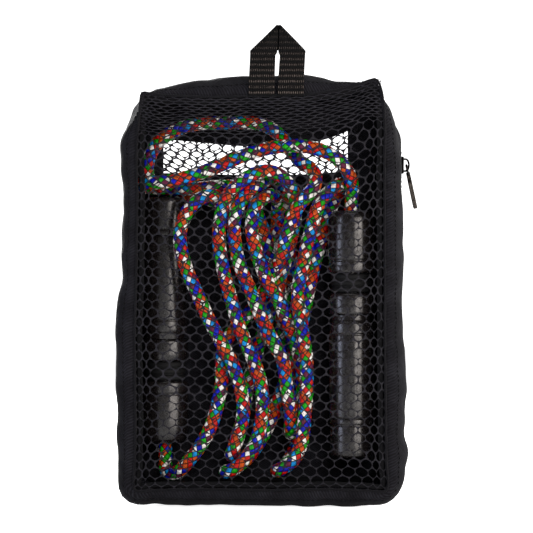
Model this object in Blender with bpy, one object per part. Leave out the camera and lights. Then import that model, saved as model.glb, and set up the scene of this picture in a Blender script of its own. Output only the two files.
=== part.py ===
"""A jump rope packed in its mesh zip pouch, standing upright.

The pouch has a net front, a cloth back with a net window, a bulging cloth gusset on all four
sides, a zip down the right side and a webbing loop on top. It holds a braided rope, folded into
a hank, and the rope's two swivel handles. Metres, +Z up, the net front facing -Y, the origin in
the middle of the flat bottom.
"""

import math

import bmesh
import bpy
from mathutils import Vector

MM = 0.001
GAP = 0.3 * MM  # clearance between pieces that touch

# Pouch
PANEL_WIDTH = 142 * MM  # seam to seam
PANEL_HEIGHT = 227 * MM
POUCH_DEPTH = 54 * MM  # front seam to back seam
PANEL_CORNER = 9 * MM
BULGE = 10.5 * MM  # how far the gusset stands out past the seams
GUSSET_FLAT = 28 * MM  # flat middle of the gusset: the zip lies in it and the pouch stands on it
CLOTH = 1.2 * MM
BINDING_WIDTH = 3.2 * MM
WINDOW_LEFT = 12.5 * MM  # net window in the cloth back: its distances from the seams
WINDOW_RIGHT = 18.5 * MM
WINDOW_TOP = 22.5 * MM
WINDOW_HEIGHT = 22 * MM
WINDOW_CORNER = 4 * MM
NET = 0.8 * MM

# Webbing loop
WEBBING = 14.6 * MM
WEBBING_THICK = 1.4 * MM
LOOP_SLOT = 2.5 * MM  # between the loop's two legs
LOOP_LEGS = 25.5 * MM  # from the sewn ends to the fold's shoulders
LOOP_SEWN = 4.5 * MM  # how far the legs reach down over the front seam
LOOP_MIDDLE = 9 * MM  # right of the pouch's middle

# Zip
ZIP_ABOVE_SEAM = 13.5 * MM  # teeth's lower end, from the bottom seam
ZIP_BELOW_SEAM = 30.5 * MM  # teeth's upper end, from the top seam
ZIP_SLOT = 6.5 * MM  # half the width of the opening in the gusset
TAPE_THICK = 0.8 * MM
TAPE_WIDTH = 12 * MM
TEETH_GAP = 1.4 * MM
TEETH_WIDTH = 2.4 * MM
TEETH_THICK = 1.6 * MM
STOP_LENGTH = 3.4 * MM
SLIDER_LENGTH = 10 * MM
SLIDER_PLATE = 1.2 * MM
SLIDER_WIDTH = 9.4 * MM
SLIDER_BELOW_STOP = 9 * MM  # the slider's middle with the zip closed
SLIDER_EDGE = 0.4 * MM
TEETH_EDGE = 0.3 * MM
STOP_OVERHANG = 0.4 * MM  # how much further the end stops reach than the teeth
POST_WIDTH = 0.7 * MM
BRIDGE_WIDTH = 1.8 * MM
BRIDGE_LENGTH = 6.4 * MM
BRIDGE_RISE = 3 * MM
EYE_RADIUS = 0.95 * MM
PULL_WIRE = 1.2 * MM
PULL_LINK = 6 * MM
PULL_LENGTH = 20 * MM
PULL_WIDTH = 5.6 * MM
PULL_THICK = 1.8 * MM
PULL_SHOULDER = 1.5 * MM
PULL_CHAMFER = 1.2 * MM
KNUCKLE_WALL = 0.7 * MM
LINK_PLAY = 0.5 * MM  # between the link's legs and the slider's bridge
PULL_TILT = math.radians(12)  # the puller leans out from the gusset

# Rope and handles
ROPE = 8 * MM
CAP_LENGTH = 22 * MM
GRIP_LENGTH = 60 * MM
COLLAR_LENGTH = 12.4 * MM
SLEEVE_LENGTH = 11.2 * MM
HEAD_LENGTH = 36 * MM
CAP_RADIUS = 12 * MM
SPIGOT_LENGTH = 10 * MM  # of the end cap, inside the grip
GRIP_RADIUS = 12.6 * MM
GRIP_BORE = 9 * MM
GRIP_STEP = 3.5 * MM  # narrower end of the grip, next to the collar
COLLAR_RADIUS = 13.1 * MM
SLEEVE_RADIUS = 11.8 * MM
HEAD_RADIUS = 13.4 * MM
HEAD_BORE = 9.4 * MM
HEAD_WALL = 8 * MM  # end wall that the rope comes out through
SPINDLE_RADIUS = 3.4 * MM
SPINDLE_TAIL = 14 * MM  # beyond the bearing
FLANGE = 4 * MM
NUT_WALL = 2.5 * MM
NUT_LENGTH = 5 * MM
NUT_BELOW_BEARING = 3 * MM
BEARING_LENGTH = 7 * MM
STOP_WALL = 3 * MM  # the rope's ferrule stands out this much round the rope
FERRULE_RIM = 4 * MM
FERRULE_CONE = 2.5 * MM
EDGE = 1.5 * MM  # chamfers of the moulded pieces
SMALL_EDGE = 0.8 * MM
RUNNING = 0.4 * MM  # radial clearance round the spindle, the bearing and the rope
RIGHT_INSET = 18.5 * MM  # handles' axes, from the side seams
LEFT_INSET = 15.5 * MM
RIGHT_FORWARD = 8 * MM  # of the pouch's middle
RIGHT_LIFT = 18 * MM  # butt end above the bottom seam, rope end up
LEFT_LIFT = 25.7 * MM  # rope end above the bottom seam, butt end up

# Routes of the rope where it leaves the hank, in millimetres, from the handle or hank onwards
RIGHT_ROUTE = [
    (52.5, -8, 163.5), (52.5, -8, 173), (53, -10, 181), (52.5, -14, 188.5), (48.5, -18, 196.5),
    (40.5, -20.5, 203.5), (29, -21, 207.5), (16, -21, 208.5), (2, -21, 206.5), (-12, -21, 202),
    (-25, -21, 196.5), (-37.5, -21, 192), (-50, -20.5, 188.5), (-60, -18, 187.5), (-67, -13, 187),
    (-69.5, -7, 186), (-66.5, -1, 185), (-59, 1, 184.5), (-48, 1, 184.5), (-36, 0, 184.5),
    (-24.5, 0, 185.5), (-14.3, 2, 185),
]
ARC_ROUTE = [
    (-37, 11, 180), (-48.5, 12, 182.5), (-58.5, 12, 184.5), (-65.5, 11, 190.5), (-66, 10, 200),
    (-61.5, 10, 209.5), (-55, 9, 215.5), (-46.5, 9, 220), (-35, 9, 222.5), (-22, 8, 223),
    (-9, 6, 223), (2, 3, 221.5), (10.5, -1, 216), (16.5, -5.5, 208), (21.5, -9, 201.5),
    (25, -11, 198.5),
]
LEFT_ROUTE = [
    (-22, -11.5, 88), (-22.5, -14, 79), (-22.5, -15.5, 71), (-24.5, -17, 61), (-27.5, -17, 49.5),
    (-32.5, -17, 39), (-39, -15, 29.5), (-45.5, -12, 22), (-51, -7, 18.5), (-55, -2, 20.5),
    (-55.5, 0, 28), (-55.5, 0, 44),
]
# Outlines of the hank, in millimetres across and up
HANK_FRONT = [
    (-50, 159), (-46, 174), (-37, 182), (-26, 184), (-16, 190), (-7, 196), (4, 197.5), (16, 194),
    (27, 189), (40, 184), (36, 165), (30, 143), (28, 118), (31, 84), (30, 50), (24, 24), (8, 18.5),
    (-19, 20), (-21, 35), (-14, 50), (-15.5, 72), (-16.8, 89), (-33, 99), (-49, 135),
]
HANK_REAR = [
    (-35, 178.5), (-14, 178.5), (-12.4, 191), (2, 194), (20, 192.5), (36, 186.5), (45, 186),
    (45, 176), (37.5, 172), (33, 148), (29.5, 118), (29, 84), (28.5, 50), (25, 24), (10, 17.5),
    (-20, 18), (-21, 34), (-16.5, 50), (-17.5, 91.5), (-32, 93), (-36, 130),
]
HANK_FRONT_DEPTH = (-24.8, -16.2)
HANK_REAR_DEPTH = (-15.8, 25)

# Worked out
HALF_DEPTH = POUCH_DEPTH / 2
SEAM_BOTTOM = BULGE  # height of the bottom seam, so the gusset's flat is at zero
SEAM_TOP = BULGE + PANEL_HEIGHT
PANEL_MIDDLE = BULGE + PANEL_HEIGHT / 2
SIDE_FACE = PANEL_WIDTH / 2 + BULGE  # outer face of the side gussets
ZIP_BOTTOM = SEAM_BOTTOM + ZIP_ABOVE_SEAM
ZIP_TOP = SEAM_TOP - ZIP_BELOW_SEAM
SLIDER_REST = ZIP_TOP - SLIDER_BELOW_STOP
TAPE_FACE = SIDE_FACE - CLOTH - GAP  # outer face of the zip tapes
TEETH_FACE = TAPE_FACE + GAP + TEETH_THICK
SLIDER_FACE = TEETH_FACE + GAP + SLIDER_PLATE
PULL_PIVOT = Vector((SLIDER_FACE + BRIDGE_RISE / 2, 0, SLIDER_REST))
HANDLE_LENGTH = CAP_LENGTH + GRIP_LENGTH + COLLAR_LENGTH + SLEEVE_LENGTH + HEAD_LENGTH + 4 * GAP
RIGHT_HANDLE = Vector((PANEL_WIDTH / 2 - RIGHT_INSET, -RIGHT_FORWARD, SEAM_BOTTOM + RIGHT_LIFT))
LEFT_HANDLE = Vector((LEFT_INSET - PANEL_WIDTH / 2, 0, SEAM_BOTTOM + LEFT_LIFT + HANDLE_LENGTH))


def clear_scene():
    for obj in list(bpy.data.objects):
        bpy.data.objects.remove(obj)


def finish_of(name, colour, roughness, metallic=0.0):
    made = bpy.data.materials.new(name)
    made.use_nodes = True
    shader = made.node_tree.nodes["Principled BSDF"]
    shader.inputs["Base Color"].default_value = (*colour, 1)
    shader.inputs["Roughness"].default_value = roughness
    shader.inputs["Metallic"].default_value = metallic
    return made


def link(name, data, parent):
    obj = bpy.data.objects.new(name, data)
    obj.parent = parent
    bpy.context.scene.collection.objects.link(obj)
    return obj


def add_part(name, bm, finish, parent):
    bmesh.ops.remove_doubles(bm, verts=bm.verts, dist=1e-6)
    bmesh.ops.recalc_face_normals(bm, faces=bm.faces)
    mesh = bpy.data.meshes.new(name)
    bm.to_mesh(mesh)
    bm.free()
    mesh.materials.append(finish)
    mesh.shade_smooth()
    mesh.set_sharp_from_angle(angle=math.radians(35))
    return link(name, mesh, parent)


def rounded_rectangle(width, height, radius, middle=(0, 0), steps=4):
    """Points (across, up) round a rectangle, anticlockwise from its bottom right corner."""
    points = []
    for turn, (side_x, side_z) in enumerate(((1, -1), (1, 1), (-1, 1), (-1, -1))):
        centre_x = middle[0] + side_x * (width / 2 - radius)
        centre_z = middle[1] + side_z * (height / 2 - radius)
        for step in range(steps + 1):
            angle = math.radians(90 * (turn - 1) + 90 * step / steps)
            points.append((centre_x + radius * math.cos(angle), centre_z + radius * math.sin(angle)))
    return points


def push(bm, faces, offset):
    """Extrudes the faces by the offset."""
    moved = bmesh.ops.extrude_face_region(bm, geom=faces)["geom"]
    bmesh.ops.translate(bm, verts=[v for v in moved if isinstance(v, bmesh.types.BMVert)], vec=offset)


def plate(outline, y_from, y_to, hole=None):
    """A flat piece in the XZ plane; a hole has as many points as the outline."""
    bm = bmesh.new()
    outer = [bm.verts.new((x, y_from, z)) for x, z in outline]
    if hole is None:
        faces = [bm.faces.new(outer)]
    else:
        inner = [bm.verts.new((x, y_from, z)) for x, z in hole]
        faces = [
            bm.faces.new((outer[i - 1], outer[i], inner[i], inner[i - 1])) for i in range(len(outer))
        ]
    push(bm, faces, (0, y_to - y_from, 0))
    return bm


def block(low, high, bevel=0.0):
    bm = bmesh.new()
    bmesh.ops.create_cube(bm, size=1)
    middle = (Vector(low) + Vector(high)) / 2
    size = Vector(high) - Vector(low)
    bmesh.ops.scale(bm, vec=size, verts=bm.verts)
    bmesh.ops.translate(bm, vec=middle, verts=bm.verts)
    if bevel:
        bmesh.ops.bevel(
            bm, geom=bm.edges[:], offset=bevel, segments=1, affect="EDGES", profile=0.5, material=-1
        )
    return bm


def turned(profile, steps=24, hollow=False):
    """A round piece about Z from (radius, height) points; a hollow one's profile is closed."""
    bm = bmesh.new()
    verts = [bm.verts.new((radius, 0, height)) for radius, height in profile]
    pairs = list(zip(verts, verts[1:]))
    if hollow:
        pairs.append((verts[-1], verts[0]))
    edges = [bm.edges.new(pair) for pair in pairs]
    bmesh.ops.spin(
        bm, geom=verts + edges, cent=(0, 0, 0), axis=(0, 0, 1), angle=math.tau, steps=steps,
        use_merge=True,
    )
    return bm


def smooth_route(route, closed=False, spacing=9 * MM):
    """Points along a smooth curve through the route's own points, in metres."""
    knots = [Vector(point) * MM for point in route]
    if closed:
        knots = [knots[-1], *knots, knots[0], knots[1]]
    else:
        knots = [2 * knots[0] - knots[1], *knots, 2 * knots[-1] - knots[-2]]
    points = []
    for before, start, end, after in zip(knots, knots[1:], knots[2:], knots[3:]):
        count = max(1, round((end - start).length / spacing))
        for step in range(count):
            t = step / count
            points.append(
                0.5 * (2 * start + (end - before) * t + (2 * before - 5 * start + 4 * end - after) * t**2
                       + (3 * start - before - 3 * end + after) * t**3)
            )
    return points if closed else [*points, knots[-2]]


# Gusset: one strip of cloth swept round the seam line


def gusset_out(y, bulge, half_depth):
    """How far the gusset stands out from the seam line at the depth y."""
    beyond = max(0.0, abs(y) - GUSSET_FLAT / 2) / (half_depth - GUSSET_FLAT / 2)
    return bulge * math.sqrt(max(0.0, 1 - min(1.0, beyond) ** 2))


def gusset_section(y_from, y_to):
    """Closed (out, y) outline of the cloth between two depths: outer face, then inner face."""
    inner_half = HALF_DEPTH - CLOTH
    flat, steps = GUSSET_FLAT / 2, 5
    depths = [
        flat + (HALF_DEPTH - flat) * math.sin(math.pi / 2 * step / steps) for step in range(steps + 1)
    ]
    depths = [-d for d in reversed(depths)] + depths
    inside = [y for y in depths if y_from < y < y_to]
    outer = [y_from, *inside, y_to]
    inner = [max(-inner_half, min(inner_half, y * inner_half / HALF_DEPTH)) for y in outer]
    if abs(y_from) < GUSSET_FLAT / 2:
        inner[0] = y_from
    if abs(y_to) < GUSSET_FLAT / 2:
        inner[-1] = y_to
    section = [(gusset_out(y, BULGE, HALF_DEPTH), y) for y in outer]
    section += [(gusset_out(y, BULGE - CLOTH, inner_half), y) for y in reversed(inner)]
    return section


def corner_stations(side_x, side_z, from_angle, to_angle, steps=4):
    centre = Vector((
        side_x * (PANEL_WIDTH / 2 - PANEL_CORNER), 0,
        PANEL_MIDDLE + side_z * (PANEL_HEIGHT / 2 - PANEL_CORNER),
    ))
    stations = []
    for step in range(steps + 1):
        angle = math.radians(from_angle + (to_angle - from_angle) * step / steps)
        out = Vector((math.cos(angle), 0, math.sin(angle)))
        stations.append((centre + out * PANEL_CORNER, out))
    return stations


def swept(stations, section):
    bm = bmesh.new()
    point, out = stations[0]
    face = bm.faces.new([bm.verts.new(point + out * o + Vector((0, y, 0))) for o, y in section])
    for (old_point, old_out), (point, out) in zip(stations, stations[1:]):
        moved = bmesh.ops.extrude_face_region(bm, geom=[face])["geom"]
        if old_point != stations[0][0]:
            bmesh.ops.delete(bm, geom=[face], context="FACES_ONLY")
        face = next(g for g in moved if isinstance(g, bmesh.types.BMFace))
        for vert in face.verts:
            depth = Vector((0, vert.co.y, 0))
            vert.co = point + out * (vert.co - old_point).dot(old_out) + depth
    return bm


def add_gussets(cloth, root):
    half_gap = math.degrees(GAP / PANEL_CORNER / 2)
    whole = gusset_section(-HALF_DEPTH, HALF_DEPTH)
    top_left = corner_stations(-1, 1, 135 + half_gap, 180)
    top_right = corner_stations(1, 1, 0, 45 - half_gap)
    bottom_left = corner_stations(-1, -1, 180, 225 - half_gap)
    bottom_right = corner_stations(1, -1, -45 + half_gap, 0)
    top = corner_stations(1, 1, 45 + half_gap, 90) + corner_stations(-1, 1, 90, 135 - half_gap)
    bottom = corner_stations(-1, -1, 225 + half_gap, 270) + corner_stations(1, -1, 270, 315 - half_gap)
    add_part("top_gusset", swept(top, whole), cloth, root)
    add_part("bottom_gusset", swept(bottom, whole), cloth, root)
    add_part("left_gusset", swept(top_left + bottom_left, whole), cloth, root)

    right = Vector((1, 0, 0))

    def at(height):
        return Vector((PANEL_WIDTH / 2, 0, height)), right

    low, high = ZIP_BOTTOM - STOP_LENGTH - 2 * GAP, ZIP_TOP + STOP_LENGTH + 2 * GAP
    add_part("right_gusset_lower", swept([*bottom_right, at(low)], whole), cloth, root)
    add_part("right_gusset_upper", swept([at(high), *top_right], whole), cloth, root)
    sides = {"front": (-HALF_DEPTH, -ZIP_SLOT), "rear": (ZIP_SLOT, HALF_DEPTH)}
    for side, (y_from, y_to) in sides.items():
        strip = swept([at(low + GAP), at(high - GAP)], gusset_section(y_from, y_to))
        add_part(f"right_gusset_{side}", strip, cloth, root)


def add_panels(net, cloth, tape, root):
    middle = (0, PANEL_MIDDLE)
    outline = rounded_rectangle(
        PANEL_WIDTH - 2 * GAP, PANEL_HEIGHT - 2 * GAP, PANEL_CORNER - GAP, middle
    )
    window_middle = ((WINDOW_LEFT - WINDOW_RIGHT) / 2, SEAM_TOP - WINDOW_TOP - WINDOW_HEIGHT / 2)
    window_width = PANEL_WIDTH - WINDOW_LEFT - WINDOW_RIGHT
    window = rounded_rectangle(window_width, WINDOW_HEIGHT, WINDOW_CORNER, window_middle)
    pane = rounded_rectangle(
        window_width - 2 * GAP, WINDOW_HEIGHT - 2 * GAP, WINDOW_CORNER - GAP, window_middle
    )
    add_part("front_mesh_panel", plate(outline, -HALF_DEPTH, -HALF_DEPTH + NET), net, root)
    back = plate(outline, HALF_DEPTH - CLOTH, HALF_DEPTH, window)
    add_part("back_fabric_panel", back, cloth, root)
    net_y = HALF_DEPTH - CLOTH / 2
    add_part("back_mesh_window", plate(pane, net_y - NET / 2, net_y + NET / 2), net, root)
    inner = rounded_rectangle(
        PANEL_WIDTH - 2 * BINDING_WIDTH, PANEL_HEIGHT - 2 * BINDING_WIDTH,
        PANEL_CORNER - BINDING_WIDTH, middle,
    )
    binding_y = HALF_DEPTH - CLOTH - GAP
    for name, y_outer in {"front_seam_binding": -binding_y, "back_seam_binding": binding_y}.items():
        y_inner = y_outer - math.copysign(CLOTH, y_outer)
        add_part(name, plate(outline, y_outer, y_inner, inner), tape, root)


def add_loop(webbing, root):
    """A strap folded at 45 degrees on each side of its peak, both legs sewn into the front seam."""
    half = WEBBING + LOOP_SLOT / 2
    foot = SEAM_TOP - LOOP_SEWN
    shoulder = SEAM_TOP + LOOP_LEGS
    slot = LOOP_SLOT / 2
    outline = [
        (-half, foot), (-slot, foot), (-slot, shoulder), (slot, shoulder), (slot, foot),
        (half, foot), (half, shoulder), (0, shoulder + half * 0.92), (-half, shoulder),
    ]
    outline = [(x + LOOP_MIDDLE, z) for x, z in outline]
    face = -HALF_DEPTH - GAP
    add_part("hang_loop", plate(outline, face - WEBBING_THICK, face), webbing, root)


# Zip


def add_zip(tape, plastic, metal, root, slider_axis, puller_axis):
    sides = {"front": -1, "rear": 1}
    for side, sign in sides.items():
        ys = sorted((sign * TEETH_GAP / 2, sign * (TEETH_GAP / 2 + TAPE_WIDTH)))
        low = (TAPE_FACE - TAPE_THICK, ys[0], ZIP_BOTTOM - STOP_LENGTH)
        add_part(f"zip_tape_{side}", block(low, (TAPE_FACE, ys[1], ZIP_TOP + STOP_LENGTH)), tape, root)
        ys = sorted((sign * TEETH_GAP / 2, sign * (TEETH_GAP / 2 + TEETH_WIDTH)))
        low = (TAPE_FACE + GAP, ys[0], ZIP_BOTTOM + GAP)
        high = (TEETH_FACE, ys[1], ZIP_TOP - GAP)
        add_part(f"zip_teeth_{side}", block(low, high, TEETH_EDGE), plastic, root)
    reach = TEETH_GAP / 2 + TEETH_WIDTH + STOP_OVERHANG
    for name, z in {"zip_bottom_stop": ZIP_BOTTOM - STOP_LENGTH, "zip_top_stop": ZIP_TOP}.items():
        low = (TAPE_FACE + GAP, -reach, z)
        high = (TEETH_FACE, reach, z + STOP_LENGTH)
        add_part(name, block(low, high, TEETH_EDGE), metal, root)
    add_slider(metal, slider_axis)
    add_puller(metal, puller_axis)


def union(target, other):
    modifier = target.modifiers.new("join", "BOOLEAN")
    modifier.operation = "UNION"
    modifier.object = other
    other.hide_render = True
    other.display_type = "WIRE"


def cut(target, other):
    union(target, other)
    target.modifiers[-1].operation = "DIFFERENCE"


def add_slider(metal, axis):
    """Plates over and under the teeth, joined by a thin post, with a bridge for the puller."""
    half, wide = SLIDER_LENGTH / 2, SLIDER_WIDTH / 2
    under = TAPE_FACE - TAPE_THICK - GAP
    body = add_part(
        "zip_slider",
        block((SLIDER_FACE - SLIDER_PLATE, -wide, -half), (SLIDER_FACE, wide, half), SLIDER_EDGE),
        metal, axis,
    )
    post = block((under - SLIDER_PLATE / 2, -POST_WIDTH / 2, half * 0.1),
                 (SLIDER_FACE - SLIDER_PLATE / 2, POST_WIDTH / 2, half * 0.8))
    union(body, add_part("slider_post", post, metal, axis))
    lower = block((under - SLIDER_PLATE, -wide * 0.9, -half), (under, wide * 0.9, half))
    union(body, add_part("slider_under_plate", lower, metal, axis))
    bridge = block((SLIDER_FACE - SLIDER_PLATE / 2, -BRIDGE_WIDTH / 2, -BRIDGE_LENGTH / 2),
                   (SLIDER_FACE + BRIDGE_RISE, BRIDGE_WIDTH / 2, BRIDGE_LENGTH / 2), SLIDER_EDGE)
    union(body, add_part("slider_bridge", bridge, metal, axis))
    eye = bmesh.new()
    bmesh.ops.create_cone(
        eye, cap_ends=True, segments=16, radius1=EYE_RADIUS, radius2=EYE_RADIUS, depth=3 * BRIDGE_WIDTH
    )
    cutter = add_part("slider_eye", eye, metal, axis)
    cutter.location = (PULL_PIVOT.x, 0, 0)
    cutter.rotation_euler = (math.pi / 2, 0, 0)
    cut(body, cutter)


def add_puller(metal, axis):
    """A wire link through the slider's bridge, and a flat tab whose knuckle turns on the link."""
    side = BRIDGE_WIDTH / 2 + PULL_WIRE / 2 + LINK_PLAY
    wire = bpy.data.curves.new("puller_link", "CURVE")
    wire.dimensions = "3D"
    wire.bevel_depth = PULL_WIRE / 2
    wire.bevel_resolution = 2
    spline = wire.splines.new("POLY")
    corners = rounded_rectangle(2 * side, PULL_LINK, PULL_WIRE * 0.7, (0, -PULL_LINK / 2), steps=2)
    spline.points.add(len(corners) - 1)
    for point, (y, z) in zip(spline.points, corners):
        point.co = (0, y, z, 1)
    spline.use_cyclic_u = True
    wire.materials.append(metal)
    link("puller_link", wire, axis)

    bore = PULL_WIRE / 2 + GAP
    knuckle = bore + KNUCKLE_WALL
    neck = side - PULL_WIRE / 2 - GAP
    wide = PULL_WIDTH / 2
    shoulder = -PULL_LINK - knuckle - PULL_SHOULDER
    foot = -PULL_LINK - PULL_LENGTH
    half_outline = [
        (neck, -PULL_LINK), (neck, shoulder), (wide, shoulder - PULL_SHOULDER),
        (wide, foot + PULL_CHAMFER), (wide - PULL_CHAMFER, foot),
    ]
    outline = half_outline + [(-y, z) for y, z in reversed(half_outline)]
    tab = add_part("puller_tab", plate(outline, -PULL_THICK / 2, PULL_THICK / 2), metal, axis)
    tab.rotation_euler = (0, 0, math.pi / 2)
    for name, radius, length, join in (
        ("tab_knuckle", knuckle, 2 * neck, union), ("tab_bore", bore, 4 * neck, cut)
    ):
        round_piece = bmesh.new()
        bmesh.ops.create_cone(
            round_piece, cap_ends=True, segments=16, radius1=radius, radius2=radius, depth=length
        )
        helper = add_part(name, round_piece, metal, axis)
        helper.location = (0, 0, -PULL_LINK)
        helper.rotation_euler = (math.pi / 2, 0, 0)
        join(tab, helper)


# Handles: both are the same pieces, from the butt end at 0 up to the rope end


def add_handle(side, axis, plastic, rubber, steel, brass):
    grip_low = CAP_LENGTH + GAP
    grip_top = grip_low + GRIP_LENGTH
    collar_low = grip_top + GAP
    collar_top = collar_low + COLLAR_LENGTH
    sleeve_low = collar_top + GAP
    sleeve_top = sleeve_low + SLEEVE_LENGTH
    head_low = sleeve_top + GAP
    head_top = head_low + HEAD_LENGTH
    spigot = GRIP_BORE - RUNNING
    shaft_hole = SPINDLE_RADIUS + RUNNING

    add_part(f"{side}_end_cap", turned([
        (0, 0), (CAP_RADIUS - 2 * EDGE, 0), (CAP_RADIUS, 2 * EDGE), (CAP_RADIUS, CAP_LENGTH),
        (spigot, CAP_LENGTH), (spigot, CAP_LENGTH + SPIGOT_LENGTH), (0, CAP_LENGTH + SPIGOT_LENGTH),
    ]), plastic, axis)
    add_part(f"{side}_grip", turned([
        (GRIP_BORE, grip_low), (GRIP_RADIUS - SMALL_EDGE, grip_low),
        (GRIP_RADIUS, grip_low + SMALL_EDGE), (GRIP_RADIUS, grip_top - GRIP_STEP),
        (GRIP_RADIUS - EDGE, grip_top - GRIP_STEP + EDGE), (GRIP_RADIUS - EDGE, grip_top),
        (GRIP_BORE, grip_top),
    ], hollow=True), plastic, axis)
    add_part(f"{side}_collar", turned([
        (GRIP_BORE, collar_low), (COLLAR_RADIUS - SMALL_EDGE, collar_low),
        (COLLAR_RADIUS, collar_low + SMALL_EDGE), (COLLAR_RADIUS, collar_top - SMALL_EDGE),
        (COLLAR_RADIUS - SMALL_EDGE, collar_top), (GRIP_BORE, collar_top),
    ], hollow=True), plastic, axis)
    bearing_low = collar_low + (COLLAR_LENGTH - BEARING_LENGTH) / 2
    add_part(f"{side}_bearing", turned([
        (shaft_hole, bearing_low), (spigot, bearing_low), (spigot, bearing_low + BEARING_LENGTH),
        (shaft_hole, bearing_low + BEARING_LENGTH),
    ], hollow=True), steel, axis)

    ring = SLEEVE_LENGTH / 3
    profile = [(shaft_hole, sleeve_low)]
    for count in range(3):
        low = sleeve_low + count * ring
        profile += [(SLEEVE_RADIUS - EDGE, low), (SLEEVE_RADIUS, low + ring * 0.3),
                    (SLEEVE_RADIUS, low + ring * 0.7)]
    profile += [(SLEEVE_RADIUS - EDGE, sleeve_top), (shaft_hole, sleeve_top)]
    add_part(f"{side}_swivel_sleeve", turned(profile, hollow=True), rubber, axis)

    rope_hole = ROPE / 2 + RUNNING
    wall_low = head_top - HEAD_WALL
    add_part(f"{side}_head", turned([
        (HEAD_BORE, head_low), (HEAD_RADIUS - SMALL_EDGE, head_low), (HEAD_RADIUS, head_low + SMALL_EDGE),
        (HEAD_RADIUS, head_top - 2 * EDGE), (HEAD_RADIUS - EDGE / 2, head_top - EDGE / 2),
        (HEAD_RADIUS - 2 * EDGE, head_top), (rope_hole + EDGE, head_top), (rope_hole, head_top - EDGE),
        (rope_hole, wall_low), (HEAD_BORE, wall_low),
    ], hollow=True), plastic, axis)
    spindle_foot = bearing_low - SPINDLE_TAIL
    flange_low = sleeve_top + GAP
    add_part(f"{side}_spindle", turned([
        (0, spindle_foot), (SPINDLE_RADIUS, spindle_foot), (SPINDLE_RADIUS, flange_low),
        (HEAD_BORE - RUNNING, flange_low), (HEAD_BORE - RUNNING, flange_low + FLANGE),
        (0, flange_low + FLANGE),
    ], 16), steel, axis)
    nut_top = bearing_low - NUT_BELOW_BEARING
    nut_hole = SPINDLE_RADIUS + GAP
    add_part(f"{side}_spindle_nut", turned([
        (nut_hole, nut_top - NUT_LENGTH), (nut_hole + NUT_WALL, nut_top - NUT_LENGTH),
        (nut_hole + NUT_WALL, nut_top), (nut_hole, nut_top),
    ], 12, hollow=True), steel, axis)
    stop_top = wall_low - GAP
    stop_low = stop_top - FERRULE_RIM - FERRULE_CONE
    stop_wide = ROPE / 2 + STOP_WALL
    add_part(f"{side}_rope_stop", turned([
        (0, stop_low), (stop_wide, stop_low), (stop_wide, stop_low + FERRULE_RIM),
        (ROPE / 2, stop_top), (0, stop_top),
    ], 16), brass, axis)


# Rope


def add_rope_tube(name, route, finish, root):
    curve = bpy.data.curves.new(name, "CURVE")
    curve.dimensions = "3D"
    curve.bevel_depth = ROPE / 2
    curve.bevel_resolution = 2
    curve.use_fill_caps = True
    points = smooth_route(route, spacing=16 * MM)
    spline = curve.splines.new("POLY")
    spline.points.add(len(points) - 1)
    for point, place in zip(spline.points, points):
        point.co = (*place, 1)
    curve.materials.append(finish)
    link(name, curve, root)


def add_hank(finish, root):
    halves = {
        "rope_hank_front": (HANK_FRONT, HANK_FRONT_DEPTH), "rope_hank_rear": (HANK_REAR, HANK_REAR_DEPTH)
    }
    for name, (outline, (y_from, y_to)) in halves.items():
        points = [(x * MM, z * MM) for x, z in outline]
        add_part(name, plate(points, y_from * MM, y_to * MM), finish, root)


def empty_at(name, place, parent, rotation=(0, 0, 0)):
    obj = link(name, None, parent)
    obj.location = place
    obj.rotation_euler = rotation
    return obj


def main():
    clear_scene()
    cloth = finish_of("black_polyester_cloth", (0.012, 0.012, 0.014), 0.8)
    net = finish_of("black_hexagon_net", (0.015, 0.015, 0.017), 0.6)
    tape = finish_of("black_woven_tape", (0.014, 0.014, 0.016), 0.75)
    webbing = finish_of("black_webbing", (0.016, 0.014, 0.014), 0.7)
    coil = finish_of("black_nylon_coil", (0.02, 0.02, 0.022), 0.4)
    metal = finish_of("gunmetal", (0.06, 0.06, 0.065), 0.3, 1.0)
    plastic = finish_of("black_gloss_plastic", (0.01, 0.01, 0.011), 0.12)
    rubber = finish_of("black_rubber", (0.015, 0.015, 0.016), 0.6)
    steel = finish_of("bright_steel", (0.6, 0.6, 0.62), 0.25, 1.0)
    brass = finish_of("brass_ferrule", (0.6, 0.42, 0.2), 0.3, 1.0)
    rope = finish_of("braided_polypropylene", (0.35, 0.12, 0.1), 0.6)

    root = empty_at("part_origin", (0, 0, 0), None)
    slider_axis = empty_at("slider_axis", (0, 0, SLIDER_REST), root)
    pivot = PULL_PIVOT - slider_axis.location
    puller_axis = empty_at("puller_axis", pivot, slider_axis, (0, -PULL_TILT, 0))
    right_axis = empty_at("right_handle_axis", RIGHT_HANDLE, root)
    left_axis = empty_at("left_handle_axis", LEFT_HANDLE, root, (0, math.pi, 0))

    add_gussets(cloth, root)
    add_panels(net, cloth, tape, root)
    add_loop(webbing, root)
    add_zip(tape, coil, metal, root, slider_axis, puller_axis)
    add_handle("right", right_axis, plastic, rubber, steel, brass)
    add_handle("left", left_axis, plastic, rubber, steel, brass)
    add_hank(rope, root)
    routes = {"rope_lead_right": RIGHT_ROUTE, "rope_top_arc": ARC_ROUTE, "rope_lead_left": LEFT_ROUTE}
    for name, route in routes.items():
        add_rope_tube(name, route, rope, root)


main()
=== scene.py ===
"""Looks of a jump rope packed in its mesh zip pouch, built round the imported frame.

The pouch is black woven cloth with a hexagon net front, a cloth back with a net window, a coil zip
down its right side and a webbing loop on top. A multicolour braided rope lies folded inside it,
with the rope's two moulded handles. Metres, +Z up, the net front facing -Y.
"""

import math

import bmesh
import bpy
from mathutils import Matrix, Vector, noise


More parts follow.
